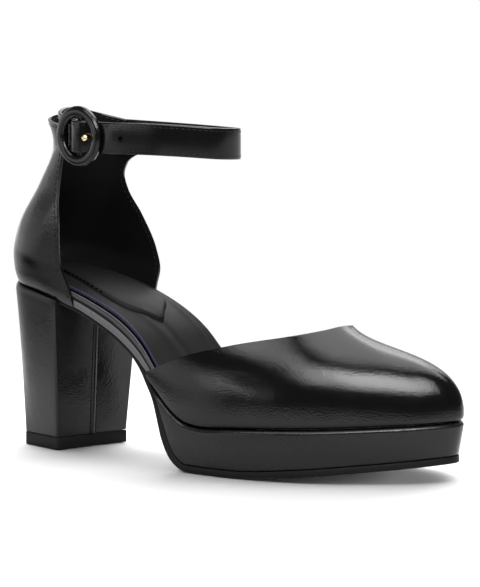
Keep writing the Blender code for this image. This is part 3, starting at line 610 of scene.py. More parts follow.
def plain(name, colour, rough, metallic=0.0, ior=1.5, grit=0.0, grit_mm=0.5):
    """A moulded, spun or plated material: colour, gloss and the depth and size of its grit in mm."""
    material, shader, _, noise = surface(name, colour, rough, ior, GLOSS_SPREAD, grit_mm, detail=2.0)
    shader.inputs["Metallic"].default_value = metallic
    tree = material.node_tree
    bump = add_node(tree, "ShaderNodeBump", {"Strength": 1.0, "Distance": grit * MM}, {"Height": noise})
    tree.links.new(bump.outputs[0], shader.inputs["Normal"])
    return material


SOLE_EDGE = plain("sole_edge_rubber", "0b0b0a", 0.55, ior=1.25, grit=0.03)
SOLE_TREAD = plain("sole_tread_rubber", "1c1410", 0.60, ior=1.45, grit=0.06, grit_mm=0.9)
THREAD = plain("bonded_nylon_thread", "080808", 0.45, ior=1.3, grit=0.02, grit_mm=0.3)
PIPING = plain("piping_edge_paint", "2c2c2e", 0.35, ior=1.4, grit=0.01)
SOCK_THREAD = plain("waxed_sock_thread", "020202", 0.80, ior=1.05, grit=0.02, grit_mm=0.3)
INK = plain("edge_ink", "0e0b2c", 0.45, ior=1.33, grit=0.01)
GOLD = plain("pale_gold_plating", "f0cfa0", 0.20, metallic=1.0, grit=0.004)
DARK_STEEL = plain("blackened_steel", "2c2c2e", 0.30, metallic=1.0, grit=0.004)
OTHERS = (SOLE_EDGE, SOLE_TREAD, THREAD, PIPING, SOCK_THREAD, INK, GOLD, DARK_STEEL)
print("other materials:", [material.name for material in OTHERS])

# %% [markdown]
# The vamp is the toe half of the upper. Each of its sections leaves the feather edge upright, bulges over
# the foot and runs up to the topline, so a section is one cubic curve with its own wall, slope and reach.
# Where the hide turns under to the platform it rolls in, which draws the dark groove between the two. The
# wall then grows inwards with a Solidify modifier, and a small bevel makes the folded topline.

# %% Vamp
VampRow = namedtuple("VampRow", "station top_x top_y top_z wall flare slope reach")
VAMP = [
    VampRow("vamp_outer", 90.2, -30.0, 45.1, 0.8, 0.0, 80.0, 0.8),
    VampRow("joint_outer", 110.0, -32.8, 53.7, 11.2, 1.2, 72.0, 9.0),
    VampRow("ball_outer", 137.5, -30.8, 61.4, 14.5, 1.6, 55.0, 13.0),
    VampRow("toe_outer", 162.5, -22.3, 66.2, 21.0, 1.3, 52.0, 15.0),
    VampRow("cap_outer", 176.5, -10.0, 69.0, 21.8, 1.2, 34.0, 23.5),
    VampRow("tip_outer", 181.4, -2.5, 70.3, 26.6, 1.2, 32.0, 19.0),
    VampRow("tip", 183.2, 2.5, 70.1, 31.8, 2.8, 44.0, 18.0),
    VampRow("cap_inner", 181.0, 7.5, 69.4, 31.0, 3.0, 50.0, 17.5),
    VampRow("toe_inner", 175.0, 14.5, 67.3, 19.1, 1.5, 38.0, 17.5),
    VampRow("ball_inner", 160.0, 23.5, 61.5, 14.8, 1.5, 52.0, 14.0),
    VampRow("joint_inner", 139.5, 29.3, 52.0, 11.6, 1.5, 66.0, 10.0),
    VampRow("vamp_inner", 108.2, 29.0, 35.8, 0.8, 0.0, 80.0, 0.8),
]
CreaseRow = namedtuple("CreaseRow", "along climb turn length width rise")
VAMP_CREASES = [
    CreaseRow(62.0, 24.0, -12.0, 14.0, 4.5, -0.25),
]
VAMP_ROLL = 2.4
FULL_ROLL_CLIMB = 6.0
LEAST_ROLL = 0.05
VAMP_COLUMNS = 321
VAMP_SOFTEN = 8.0
TOPLINE_ROUND = 0.65


def fine_below(split, low_count, count):
    """Heights from 0 to 1 for the rows of a sheet, closer together below a split."""
    return np.concatenate([np.linspace(0.0, split, low_count + 1)[:-1], np.linspace(split, 1.0, count)])


def climbed(grid):
    """How far up the leather each point of an upright sheet lies from its lowest row, in mm."""
    run = np.linalg.norm(np.diff(grid, axis=0), axis=-1)
    return np.vstack([np.zeros((1, grid.shape[1])), np.cumsum(run, axis=0)])


def rolled_under(grid, roll, outward):
    """Roll the lowest part of an upright sheet inwards on a quarter circle, less where it is low."""
    climb = climbed(grid)
    radius = roll * np.clip(climb[-1] / (FULL_ROLL_CLIMB * roll), LEAST_ROLL, 1.0)
    part = np.clip(1.0 - climb / radius, 0.0, 1.0)
    inward = radius * (1.0 - np.sqrt(1.0 - part ** 2))
    moved = grid.copy()
    moved[..., :2] -= outward[None] * inward[..., None]
    return moved


def creased(grid, along, creases):
    """A sheet pushed out or in, square to its face, by soft ridges and troughs placed in mm on it."""
    climb = climbed(grid)
    push = np.zeros(climb.shape)
    for row in creases:
        turn = math.radians(row.turn)
        aside, above = along[None] - row.along, climb - row.climb
        lengthwise = aside * math.cos(turn) + above * math.sin(turn)
        across = above * math.cos(turn) - aside * math.sin(turn)
        push += row.rise * np.exp(-(lengthwise / row.length) ** 2 - (across / row.width) ** 2)
    return grid + grid_outward(grid) * push[..., None]


def vamp_grid(columns, heights):
    """The vamp's outer face: rows from the feather edge up to the topline, columns round the toe."""
    places = [STATION[row.station] for row in VAMP]
    fan = softened(smooth_curve(places, [row[1:] for row in VAMP]), places[0], places[-1], VAMP_SOFTEN)
    spots = np.linspace(places[0], places[-1], columns)
    top, (wall, flare, slope, reach) = fan(spots)[:, :3], fan(spots)[:, 3:].T
    foot = edge_at(spots)
    outward = edge_outward(spots)
    start = np.column_stack([foot, bottom_height(*foot.T)])
    nudge = 0.5
    towards = unit(foot - top[:, :2] + nudge * outward)
    fall = np.radians(slope)
    rise = start + np.column_stack([outward * flare[:, None], wall])
    lead = top + reach[:, None] * np.column_stack([towards * np.cos(fall)[:, None], -np.sin(fall)])
    part = np.asarray(heights)[:, None, None]
    rest = 1.0 - part
    grid = rest ** 3 * start + 3 * rest ** 2 * part * rise + 3 * rest * part ** 2 * lead + part ** 3 * top
    grid = creased(grid, spots - places[0], VAMP_CREASES)
    return rolled_under(grid, VAMP_ROLL, outward)


vamp = formed("vamp_leather", vamp_grid(VAMP_COLUMNS, fine_below(split=0.07, low_count=12, count=70)))
cover(vamp, CALF, LINING)
apply_modifier(vamp, "SOLIDIFY", thickness=WALL * MM, offset=-1.0, material_offset=1)
round_edges(vamp, TOPLINE_ROUND)
dress(vamp, node="vamp")

# %% [markdown]
# The quarter is the heel half: a stiffened counter that cups the heel, narrows above it and flares at its
# top edge. On the inner side it runs on into a wing that carries the strap. Its level sections are a round
# back with two straight wings, and its lower edge bends in to the feather edge over the heel, in a soft
# tuck.

# %% Quarter
QuarterRow = namedtuple("QuarterRow", "height back depth outer inner")
QUARTER = [
    QuarterRow(72.0, 3.4, 26.0, -26.8, 25.2),
    QuarterRow(94.0, 1.6, 27.0, -28.6, 28.0),
    QuarterRow(110.0, 5.4, 27.0, -28.2, 28.2),
    QuarterRow(130.0, 16.8, 25.0, -26.0, 27.0),
    QuarterRow(150.0, 24.6, 22.0, -24.2, 26.0),
    QuarterRow(162.0, 20.8, 24.0, -24.6, 25.8),
]
FrontRow = namedtuple("FrontRow", "height outer_x inner_x")
QUARTER_FRONT = [FrontRow(*row) for row in (
    (70.0, 46.5, 61.6), (84.0, 41.8, 63.4), (96.0, 40.4, 60.3), (112.0, 39.6, 52.2),
    (124.0, 38.4, 44.8), (131.0, 38.3, 43.0), (137.0, 38.4, 45.2), (140.5, 38.5, 49.5),
    (143.5, 38.6, 58.0), (147.0, 38.8, 62.0), (162.0, 40.0, 62.0),
)]
RimRow = namedtuple("RimRow", "round height")
QUARTER_RIM = [RimRow(*row) for row in (
    (-1.0, 159.0), (-0.4, 160.4), (0.0, 161.2), (0.4, 160.0), (1.0, 156.6),
)]
QUARTER_SEAT = 78.0
QUARTER_BLEND = 0.22
QUARTER_PASSES = 4
QUARTER_EDGE_SHARE = 0.2
QUARTER_TUCK_HEIGHT = 7.0
QUARTER_TUCK_DEPTH = 1.8
QUARTER_TUCK_ROW = 4
QUARTER_COLUMNS = 141
RIM_ROUND = 0.6
section_curve = table_curve(QUARTER, width=3.0)
front_curve = table_curve(QUARTER_FRONT, level=True, width=0.5)
rim_curve = table_curve(QUARTER_RIM, width=0.15)


def quarter_foot(turn):
    """Where the quarter's lines meet its lower edge: turn runs from the outer wing round to the inner."""
    front = np.where(turn >= 0.0, QUARTER_FRONT[0].inner_x, QUARTER_FRONT[0].outer_x)
    x = EDGE[0].x + (front - EDGE[0].x) * turn * turn
    share = int(len(EDGE_SAMPLES) * QUARTER_EDGE_SHARE)
    inner, outer = EDGE_POINTS[-share:][::-1], EDGE_POINTS[:share]
    inner_y = np.interp(x, np.maximum.accumulate(inner[:, 0]), inner[:, 1])
    outer_y = np.interp(x, np.maximum.accumulate(outer[:, 0]), outer[:, 1])
    return x, np.where(turn >= 0.0, inner_y, outer_y)


def quarter_points(turn, level):
    """Points of the quarter's outer face for turns from -1 to 1 and levels from its foot to its rim."""
    turn, level = np.broadcast_arrays(np.asarray(turn, float), np.asarray(level, float))
    inner_side = turn >= 0.0
    top = rim_curve(turn)[..., 0]
    foot_x, foot_y = quarter_foot(turn)
    height = QUARTER_SEAT + level * (top - QUARTER_SEAT)
    blend = np.clip(level / QUARTER_BLEND, 0.0, 1.0)
    blend = blend * blend * (3.0 - 2.0 * blend)
    for _ in range(QUARTER_PASSES):
        back, depth, outer, inner = np.moveaxis(section_curve(height), -1, 0)
        outer_front, inner_front = np.moveaxis(front_curve(height), -1, 0)
        width = np.where(inner_side, inner, outer) - EDGE[0].y
        x = back + (np.where(inner_side, inner_front, outer_front) - back) * turn * turn
        bend = np.clip((x - back) / depth, 0.0, 1.0)
        y = EDGE[0].y + width * np.sqrt(1.0 - (1.0 - bend) ** 2)
        x = foot_x + (x - foot_x) * blend
        y = foot_y + (y - foot_y) * blend
        seat = bottom_height(x, y)
        height = seat + level * (top - seat)
    return np.stack([x, y, height], axis=-1)


def quarter_grid(columns, levels):
    """The quarter's outer face: rows from its foot up to its rim, columns from inner to outer wing."""
    turns = np.linspace(1.0, -1.0, columns)
    grid = quarter_points(turns[None, :], np.asarray(levels)[:, None])
    flat = unit(grid_outward(grid)[QUARTER_TUCK_ROW, :, :2])
    low = np.clip(1.0 - climbed(grid) / QUARTER_TUCK_HEIGHT, 0.0, 1.0)
    grid[..., :2] -= flat[None] * (QUARTER_TUCK_DEPTH * low ** 2)[..., None]
    return grid


quarter_levels = fine_below(split=0.02, low_count=6, count=84)
quarter = formed("quarter_leather", quarter_grid(QUARTER_COLUMNS, quarter_levels))
cover(quarter, CALF, LINING)
apply_modifier(quarter, "SOLIDIFY", thickness=WALL * MM, offset=-1.0, material_offset=1)
round_edges(quarter, RIM_ROUND)
dress(quarter, node="quarter")

# %% [markdown]
# The platform is a block wrapped in leather. Seen from the side it is a plain upright wall whose top edge
# rolls over towards the upper; seen from above it follows the feather edge round the toe. So it is made
# of closed outlines, one above the other: flat under the sole, up the wall, and over the roll.

# %% Platform
PLATFORM_START = 96.6
PLATFORM_STEP = 0.3
PLATFORM_ROLL = 2.2
PLATFORM_ROLL_STEPS = 8
PLATFORM_ROOM = 0.4
PLATFORM_BACK_STEPS = 12
PLATFORM_LIP = 7.0
PLATFORM_COLUMNS = 260
TOE_LEAN = 3.1
TOE_LEAN_START = 120.0
LevelRow = namedtuple("LevelRow", "inset drop climb")


def toe_lean(along):
    """How far the platform's foot lies behind its top edge: nothing at the joint, most at the toe."""
    part = (np.asarray(along) - TOE_LEAN_START) / (LAST_BOTTOM[-1].along - TOE_LEAN_START)
    return TOE_LEAN * np.clip(part, 0.0, None)


def slope_gap(along):
    """The upright clearance that keeps the gap square to the outsole's slope."""
    step = 0.2
    rise = (outsole_curve(along + step) - outsole_curve(along - step))[..., 0] / (2 * step)
    return GAP * np.hypot(1.0, rise)


def platform_levels():
    """The wall's levels: inset from the outline, drop below the top and climb above the sole, in mm."""
    rows = [LevelRow(PLATFORM_LIP, None, 0.0), LevelRow(0.9, None, 0.0), LevelRow(0.3, None, 0.12)]
    rows += [LevelRow(0.05, None, 0.45), LevelRow(0.0, None, 0.9)]
    for angle in np.radians(np.linspace(0.0, 90.0, PLATFORM_ROLL_STEPS)):
        inset, drop = PLATFORM_ROLL * (1 - math.cos(angle)), PLATFORM_ROLL * (1 - math.sin(angle))
        rows.append(LevelRow(inset, drop, None))
    return rows + [LevelRow(PLATFORM_LIP, 0.0, None)]


def platform_grid():
    """Closed outlines of the platform, from under the sole up over the rolled top edge."""
    reach = EDGE_POINTS[:, 0] - FOOT_SKEW * EDGE_POINTS[:, 1]
    first, last = np.nonzero(reach >= PLATFORM_START)[0][[0, -1]]
    spots = np.linspace(EDGE_SAMPLES[first], EDGE_SAMPLES[last], PLATFORM_COLUMNS)
    rim, outward = edge_at(spots), edge_outward(spots)
    rim = rim + outward * PLATFORM_STEP
    across = np.linspace(0.0, 1.0, PLATFORM_BACK_STEPS)[1:-1, None]
    back = rim[-1] + (rim[0] - rim[-1]) * across
    ahead = np.repeat(unit(outward[-1] + outward[0])[None], len(back), axis=0)
    rim = np.vstack([rim, back, rim[:1]])
    outward = np.vstack([outward, ahead, outward[:1]])
    grid = []
    for inset, drop, climb in platform_levels():
        x, y = (rim - outward * inset).T
        top = bottom_height(x, y) - GAP
        lean = toe_lean(x - FOOT_SKEW * y)
        low_along = x - lean - FOOT_SKEW * y
        low = outsole_curve(low_along)[:, 0] + slope_gap(low_along)
        room_left = np.clip((top - low) * PLATFORM_ROOM, 0.0, None)
        z = top - np.minimum(drop, room_left) if climb is None else low + np.minimum(climb, room_left)
        part = np.clip((top - z) / np.maximum(top - low, 0.1), 0.0, 1.0)
        grid.append(np.column_stack([x - lean * part, y, z]))
    return np.array(grid)


platform = formed("platform_wrap", platform_grid(), ring=True)
dress(platform, "platform", [WRAP], sharper_than=35.0)

# %% [markdown]
# The outsole is one sheet of rubber that comes off the shank, runs down the platform's back and along the
# ground, and lifts at the toe. It is made of sections across the foot: the upper face, a side with its
# corners eased, and the tread face.

# %% Outsole
SHANK_SOLE_THICKNESS = 1.6
SHANK_INSET = 2.8
SHANK_INSET_END = 84.0
SHANK_INSET_FADE = 24.0
SHANK_END_MARGIN = 3.0
HEEL_TOP_BREAST = 44.6
HEEL_TOP_SKEW = 0.30
TOE_MARGIN = 0.03
SOLE_EASE = 0.35
SOLE_EASE_CUT = 0.3
SOLE_ACROSS = 13
SHANK_COUNT = 26
SLOPE_COUNT = 36
TREAD_COUNT = 60


def outsole_line():
    """Places along the outsole's upper line and their heights: the shank, the slope, then the tread."""
    leave = OUTSOLE_TOP[0].along
    last = reach_limits(FOOT_SKEW, -PLATFORM_STEP)[1] - TOE_MARGIN
    shank = np.linspace(HEEL_TOP_BREAST + GAP, leave - SHANK_END_MARGIN, SHANK_COUNT)
    slope = np.linspace(leave, TREAD_START, SLOPE_COUNT)
    steps = np.sin(np.linspace(0.0, math.pi / 2, TREAD_COUNT + 1))[1:]
    fore = TREAD_START + (last - TREAD_START) * steps
    free = np.concatenate([slope, fore])
    heights = np.concatenate([bottom_curve(shank)[:, 0] - GAP, outsole_curve(free - toe_lean(free))[:, 0]])
    return np.column_stack([np.concatenate([shank, free]), heights])


def outsole_grid():
    """Closed sections of the outsole across the foot."""
    line = outsole_line()
    run = run_of(line)
    spread = np.linspace(0.0, 1.0, SOLE_ACROSS)
    grid = []
    for index, (along, height) in enumerate(line):
        on_shank = index < SHANK_COUNT
        turn = max(0.0, 1.0 - index / (SHANK_COUNT / 2))
        skew = FOOT_SKEW + (HEEL_TOP_SKEW - FOOT_SKEW) * turn
        slip = min(max((along - SHANK_INSET_END) / SHANK_INSET_FADE, 0.0), 1.0)
        inset = SHANK_INSET + (-PLATFORM_STEP - SHANK_INSET) * slip
        outer, inner = sides_at(along, skew, inset)
        thick = SHANK_SOLE_THICKNESS + (OUTSOLE_THICKNESS - SHANK_SOLE_THICKNESS) * slip
        down = np.array([run[index, 1], -run[index, 0]])
        if index == 0:
            down = np.array([0.0, -1.0])
        width = np.linalg.norm(inner - outer)
        ease = min(SOLE_EASE, width / 6.0)
        upper = np.concatenate([[ease / width], spread[1:-1], [1.0 - ease / width]])
        ring = [(across, 0.0) for across in upper]
        cut = SOLE_EASE_CUT * ease
        ring += [(1.0 - cut / width, cut), (1.0, ease), (1.0, thick - ease)]
        ring += [(1.0 - cut / width, thick - cut)]
        ring += [(across, thick) for across in upper[::-1]]
        ring += [(cut / width, thick - cut), (0.0, thick - ease), (0.0, ease), (cut / width, cut), ring[0]]
        across, depth = np.array(ring).T
        flat = outer + (inner - outer) * across[:, None]
        z = bottom_height(*flat.T) - GAP if on_shank else np.full(len(flat), height)
        x = flat[:, 0] - toe_lean(along) + down[0] * depth
        z = np.maximum(z + down[1] * depth, 0.0)
        grid.append(np.column_stack([x, flat[:, 1], z]))
    return np.array(grid)


outsole = formed("outsole_rubber", outsole_grid(), ring=True)
dress(outsole, "outsole", [SOLE_EDGE, SOLE_TREAD], sharper_than=30.0)
DOWNWARD = -0.35
for face in outsole.data.polygons:
    if face.normal.z < DOWNWARD:
        face.material_index = 1

# %% [markdown]
# The heel is a block under one wrap of leather, tapered at the back and flat in front, where the wrap meets
# in a narrow turned seam. Its outline changes from the seat's at the top to a smaller one at the floor, so
# its sections are mixed from those two, with small round corners where the front meets the sides. Its top
# edge is eased in under the seat.

# %% Heel and its top piece
HEEL_INSET = 0.2
HEEL_LIFT_HEIGHT = 6.0
HEEL_LOW_BREAST = 40.0
HEEL_LOW_SKEW = 0.448
HEEL_LOW_BACK = 5.8
HEEL_LOW_OUTER = -17.7
HEEL_LOW_INNER = 19.3
HEEL_LOW_ROUND = 8.0
HEEL_LOW_TAPER = 0.5
HEEL_CORNER = 1.3
HEEL_EASE = 0.35
HEEL_EASE_IN = 1.4
HEEL_EASE_DOWN = 3.2
HEEL_EASE_END = 34.0
HEEL_SIDE_COUNT = 40
HEEL_LEVELS = 26
SeamRow = namedtuple("SeamRow", "across rise")
HEEL_SEAM = [SeamRow(*row) for row in (
    (-2.6, 0.0), (-1.9, -0.05), (-1.45, -0.55), (-1.2, 0.25), (-0.75, 0.62), (0.0, 0.74), (0.75, 0.62),
    (1.2, 0.25), (1.45, -0.55), (1.9, -0.05), (2.6, 0.0),
)]
SEAM_FADE = 5.0


def corner_arc(before, corner, after, radius, steps=6):
    """Points that round a corner of an outline."""
    start = corner + unit(before - corner) * radius
    end = corner + unit(after - corner) * radius
    part = np.linspace(0.0, 1.0, steps)[:, None]
    return (1 - part) ** 2 * start + 2 * part * (1 - part) * corner + part ** 2 * end


def heel_outline(part, seam):
    """The heel's closed outline at a level from its top (0) to its foot (1), with a share of the seam."""
    first = reach_limits(HEEL_TOP_SKEW, HEEL_INSET)[0]
    steps = np.linspace(0.0, 1.0, HEEL_SIDE_COUNT) ** 2
    along = first + (HEEL_TOP_BREAST - first) * steps
    low_x = HEEL_LOW_BACK + (HEEL_LOW_BREAST - HEEL_LOW_BACK) * steps
    bulge = np.sqrt(1.0 - (1.0 - np.minimum(steps * HEEL_LOW_ROUND, 1.0)) ** 2)
    bulge = bulge * (HEEL_LOW_TAPER + (1.0 - HEEL_LOW_TAPER) * steps)
    sides = []
    for high, width in zip(sides_at(along, HEEL_TOP_SKEW, HEEL_INSET), (HEEL_LOW_OUTER, HEEL_LOW_INNER)):
        low = np.column_stack([low_x + HEEL_LOW_SKEW * steps * width, width * bulge])
        sides.append(high + (low - high) * part)
    outer, inner = sides
    middle = (outer[-1] + inner[-1]) / 2.0
    across = unit(inner[-1] - outer[-1])
    ahead = np.array([across[1], -across[0]])
    ridge = [middle + across * row.across + ahead * row.rise * seam for row in HEEL_SEAM]
    near = corner_arc(outer[-3], outer[-1], ridge[0], HEEL_CORNER)
    far = corner_arc(ridge[-1], inner[-1], inner[-3], HEEL_CORNER)
    return np.vstack([outer[:-2], near, ridge, far, inner[1:-2][::-1], outer[:1]])


def drawn_in(outline, inset):
    """A closed outline moved inwards, square to itself, by a distance for each of its points."""
    ring = outline[:-1]
    run = np.roll(ring, -1, axis=0) - np.roll(ring, 1, axis=0)
    out = unit(np.column_stack([run[:, 1], -run[:, 0]]))
    moved = ring - out * inset[:-1, None]
    return np.vstack([moved, moved[:1]])


def heel_grid():
    """Closed sections of the heel from its eased top edge, under the quarter, to its foot."""
    grid = []
    outline = heel_outline(0.0, 0.0)
    front = outline[:, 0] - HEEL_TOP_SKEW * outline[:, 1]
    share = np.clip((HEEL_TOP_BREAST - front) / HEEL_EASE_END, 0.0, 1.0)
    for angle in np.radians(np.linspace(90.0, 10.0, 8)):
        flat = drawn_in(outline, share * HEEL_EASE_IN * (1.0 - math.cos(angle)))
        drop = HEEL_EASE_DOWN * (1.0 - math.sin(angle))
        grid.append(np.column_stack([flat, bottom_height(*flat.T) - GAP - drop]))
    for part in np.linspace(0.0, 1.0, HEEL_LEVELS):
        seam = min(part * HEEL_LEVELS / SEAM_FADE, 1.0)
        flat = heel_outline(part, seam)
        top = bottom_height(*flat.T) - GAP - HEEL_EASE_DOWN
        low = HEEL_LIFT_HEIGHT + GAP
        grid.append(np.column_stack([flat, top + (low - top) * part]))
    return np.array(grid)


heel = formed("heel_block", heel_grid(), ring=True)
round_edges(heel, HEEL_EASE, sharper_than=60.0)
dress(heel, "heel", [WRAP], sharper_than=38.0)

LIFT_GROW = 1.006
LIFT_EASE = 0.4
outline = heel_outline(1.0, 0.0)
middle = outline[:-1].mean(axis=0)
outline = middle + (outline - middle) * LIFT_GROW
lift_heights = (0.0, HEEL_LIFT_HEIGHT / 2, HEEL_LIFT_HEIGHT)
lift = formed("heel_top_piece", np.array([np.column_stack([outline, np.full(len(outline), z)])
                                          for z in lift_heights]), ring=True)
round_edges(lift, LIFT_EASE, sharper_than=60.0)
dress(lift, "heel_lift", [SOLE_EDGE])

# %% [markdown]
# The insole is a board wrapped in soft leather. At the open waist its edge shows as a smooth rand, a groove
# and a rolled lip. Its upper face is dished and padded, with low ridges where the foam under the sock ends.

# %% Insole
InsoleRow = namedtuple("InsoleRow", "along thickness crown")
INSOLE = [InsoleRow(*row) for row in (
    (0.0, 7.0, 0.4), (25.0, 7.2, 0.6), (50.0, 8.1, 0.8), (95.0, 9.8, 1.0), (115.0, 5.3, 1.2),
    (160.0, 3.6, 0.6), (240.0, 3.2, 0.3),
)]
INSOLE_INSET = WALL + 0.8
INSOLE_END_MARGIN = 1.2
INSOLE_COUNT = 110
INSOLE_ACROSS = 40
INSOLE_UNDER = 5
INSOLE_EDGE_LIMIT = 0.3
InsoleEdgeRow = namedtuple("InsoleEdgeRow", "inset rise")
INSOLE_EDGE = [InsoleEdgeRow(*row) for row in (
    (0.0, 0.0), (-0.25, 0.03), (-0.3, 0.25), (-0.28, 0.43), (0.05, 0.48), (0.28, 0.51), (0.05, 0.54),
    (-0.2, 0.59), (-0.15, 0.67), (0.1, 0.73), (0.6, 0.77), (0.85, 0.86), (1.2, 0.96), (2.1, 1.0),
)]
RidgeRow = namedtuple("RidgeRow", "start_x start_y end_x end_y height width")
INSOLE_RIDGES = [
    RidgeRow(75.0, -10.6, 104.0, -6.4, 0.9, 2.4),
    RidgeRow(83.0, -2.6, 104.0, -0.6, -1.2, 1.3),
    RidgeRow(73.0, 17.6, 110.0, 15.6, 0.8, 1.2),
]
RIDGE_START = 1.5
RIDGE_END = 4.0
insole_curve = table_curve(INSOLE, width=6.0)


def ridge_height(x, y):
    """Height of the padding's low ridges and creases."""
    total = np.zeros(np.shape(x))
    for row in INSOLE_RIDGES:
        start = np.array([row.start_x, row.start_y])
        line = np.array([row.end_x, row.end_y]) - start
        length = np.linalg.norm(line)
        line = line / length
        along = (x - start[0]) * line[0] + (y - start[1]) * line[1]
        aside = (y - start[1]) * line[0] - (x - start[0]) * line[1]
        ends = 1.0 / (1.0 + np.exp(-along / RIDGE_START)) / (1.0 + np.exp((along - length) / RIDGE_END))
        total = total + row.height * ends * np.exp(-(aside / row.width) ** 2)
    return total


def insole_top(along, x, y):
    """Height of the insole's upper face."""
    outer, inner = sides_at(along, FOOT_SKEW, INSOLE_INSET)
    across = 2.0 * (y - outer[..., 1]) / (inner[..., 1] - outer[..., 1]) - 1.0
    thickness, crown = np.moveaxis(insole_curve(along), -1, 0)
    return bottom_height(x, y) + thickness + crown * (1.0 - across ** 2) + ridge_height(x, y)


def insole_grid():
    """Closed sections of the insole across the foot."""
    first, last = reach_limits(FOOT_SKEW, INSOLE_INSET)
    steps = (1.0 - np.cos(np.linspace(0.0, math.pi, INSOLE_COUNT))) / 2.0
    edge = np.array(INSOLE_EDGE)
    grid = []
    for along in first + INSOLE_END_MARGIN + steps * (last - first - 2 * INSOLE_END_MARGIN):
        outer, inner = sides_at(along, FOOT_SKEW, INSOLE_INSET)
        width = np.linalg.norm(inner - outer)
        near = np.minimum(edge[:, 0] / width, INSOLE_EDGE_LIMIT)
        between = np.linspace(near[-1], 1.0 - near[-1], INSOLE_ACROSS + 2)[1:-1]
        spread = np.concatenate([near, between, 1.0 - near[::-1]])
        rise = np.concatenate([edge[:, 1], np.ones(INSOLE_ACROSS), edge[::-1, 1]])
        flat = outer + (inner - outer) * spread[:, None]
        low = bottom_height(*flat.T)
        high = insole_top(np.full(len(flat), along), *flat.T)
        under = np.linspace(1.0, 0.0, INSOLE_UNDER + 2)[1:-1, None]
        base = outer + (inner - outer) * under
        ring = np.vstack([np.column_stack([flat, low + (high - low) * rise]),
                          np.column_stack([base, bottom_height(*base.T)])])
        grid.append(np.vstack([ring, ring[:1]]))
    return np.array(grid)


insole = formed("insole_board", insole_grid(), ring=True)
dress(insole, "insole", [SOCK, RAND_PAINTED_SHEEN, PIPING], sharper_than=55.0)
RAND_SLOPE = 0.45
RAND_TOP = 0.5
# The lower part of the insole's upright edge takes the rand's grey, a painted sheen, and the part above
# takes the edge paint.
for face in insole.data.polygons:
    if abs(face.normal.z) < RAND_SLOPE:
        x, y, z = np.array(face.center) / MM + CENTRE
        part = (z - bottom_height(x, y)) / insole_curve(x - FOOT_SKEW * y)[0]
        face.material_index = 1 if part < RAND_TOP else 2

# %% [markdown]
# On the lip lie a thin bead, a dark seam and an inked line. Each is a fine tube that is laid along the
# insole's outer edge and again along its inner edge, at a share of the edge's height.

# %% Lines on the insole's edge
CordRow = namedtuple("CordRow", "name inset outer_rise inner_rise radius material")
EDGE_CORDS = [
    # The bead takes the rand's grey, which paints a highlight line along it.
    CordRow("insole_bead", 0.5, 0.79, 0.6, 0.3, RAND_PAINTED_SHEEN),
    CordRow("insole_seam", 1.0, 0.9, 0.68, 0.5, SOCK_THREAD),
    CordRow("insole_ink_line", 1.75, 0.995, 0.76, 0.62, INK),
]
CORD_START = 40.0
CORD_END = 112.0
CORD_STEPS = 90
CORD_SIDES = 8
cord_along = np.linspace(CORD_START, CORD_END, CORD_STEPS)
cord_turns = np.linspace(0.0, 2 * math.pi, CORD_SIDES + 1)[None, :, None]
cord_edges = sides_at(cord_along, FOOT_SKEW, INSOLE_INSET)
cord_across = unit(cord_edges[1] - cord_edges[0])
for row in EDGE_CORDS:
    for side, edges, inset, rise in (("_outer", cord_edges[0], row.inset, row.outer_rise),
                                     ("_inner", cord_edges[1], -row.inset, row.inner_rise)):
        flat = edges + cord_across * inset
        low = bottom_height(*flat.T)
        line = np.column_stack([flat, low + (insole_top(cord_along, *flat.T) - low) * rise])
        aside = np.column_stack([cord_across, np.zeros(len(cord_across))])
        above = np.cross(run_of(line), aside)
        tube = line[:, None] + row.radius * (aside[:, None] * np.cos(cord_turns)
                                             + above[:, None] * np.sin(cord_turns))
        cord = formed(row.name + side, tube, ring=True)
        dress(cord, materials=[row.material])

# %% [markdown]
# The heel sock is a thin foam pad under soft leather, stitched along its outer side and seamed across its
# front. Like any cushion it is highest inside its edges and pulls down to them, so its grid is raised by a
# rounded profile over the insole's own face.

# %% Sock cushion
PadRow = namedtuple("PadRow", "along outer_y inner_y")
SOCK_PAD = [PadRow(*row) for row in (
    (9.0, -3.5, 3.5), (14.0, -5.0, 8.0), (28.0, -6.8, 13.2), (43.5, -12.0, 15.6), (52.5, -14.7, 16.4),
    (60.6, -15.7, 16.8), (68.2, -15.4, 16.4), (73.0, -13.6, 13.6), (78.0, -9.2, 5.8),
    (83.0, -3.2, -1.6),
)]
PAD_THICKNESS = 1.6
PAD_SINK = 0.25
PAD_ROUND = 2.4
PAD_UNDER = 0.05
pad_sides = table_curve(SOCK_PAD, width=1.5)


def pad_flat(part, across):
    """Where a place of the pad, from 0 to 1 along it and across it, lies on the insole from above."""
    along = SOCK_PAD[0].along + (SOCK_PAD[-1].along - SOCK_PAD[0].along) * part
    outer, inner = np.moveaxis(pad_sides(along), -1, 0)
    y = outer + (inner - outer) * across
    return along, along + FOOT_SKEW * y, y


def pad_grid(columns, rows):
    """The cushion's upper face, then its underside just above the insole, as one closed sheet."""
    part, across = np.meshgrid(np.linspace(0.0, 1.0, columns), np.linspace(0.0, 1.0, rows))
    along, x, y = pad_flat(part, across)
    outer, inner = np.moveaxis(pad_sides(along), -1, 0)
    length = SOCK_PAD[-1].along - SOCK_PAD[0].along
    margin = np.minimum(np.minimum(across, 1.0 - across) * (inner - outer),
                        np.minimum(part, 1.0 - part) * length)
    swell = np.sqrt(1.0 - (1.0 - np.clip(margin / PAD_ROUND, 0.0, 1.0)) ** 2)
    base = insole_top(along, x, y)
    upper = np.stack([x, y, base + PAD_SINK + (PAD_THICKNESS + GAP - PAD_SINK) * swell], axis=-1)
    lower = np.stack([x, y, base + PAD_SINK - PAD_UNDER], axis=-1)
    return np.vstack([upper, lower[::-1], upper[:1]]).transpose(1, 0, 2)


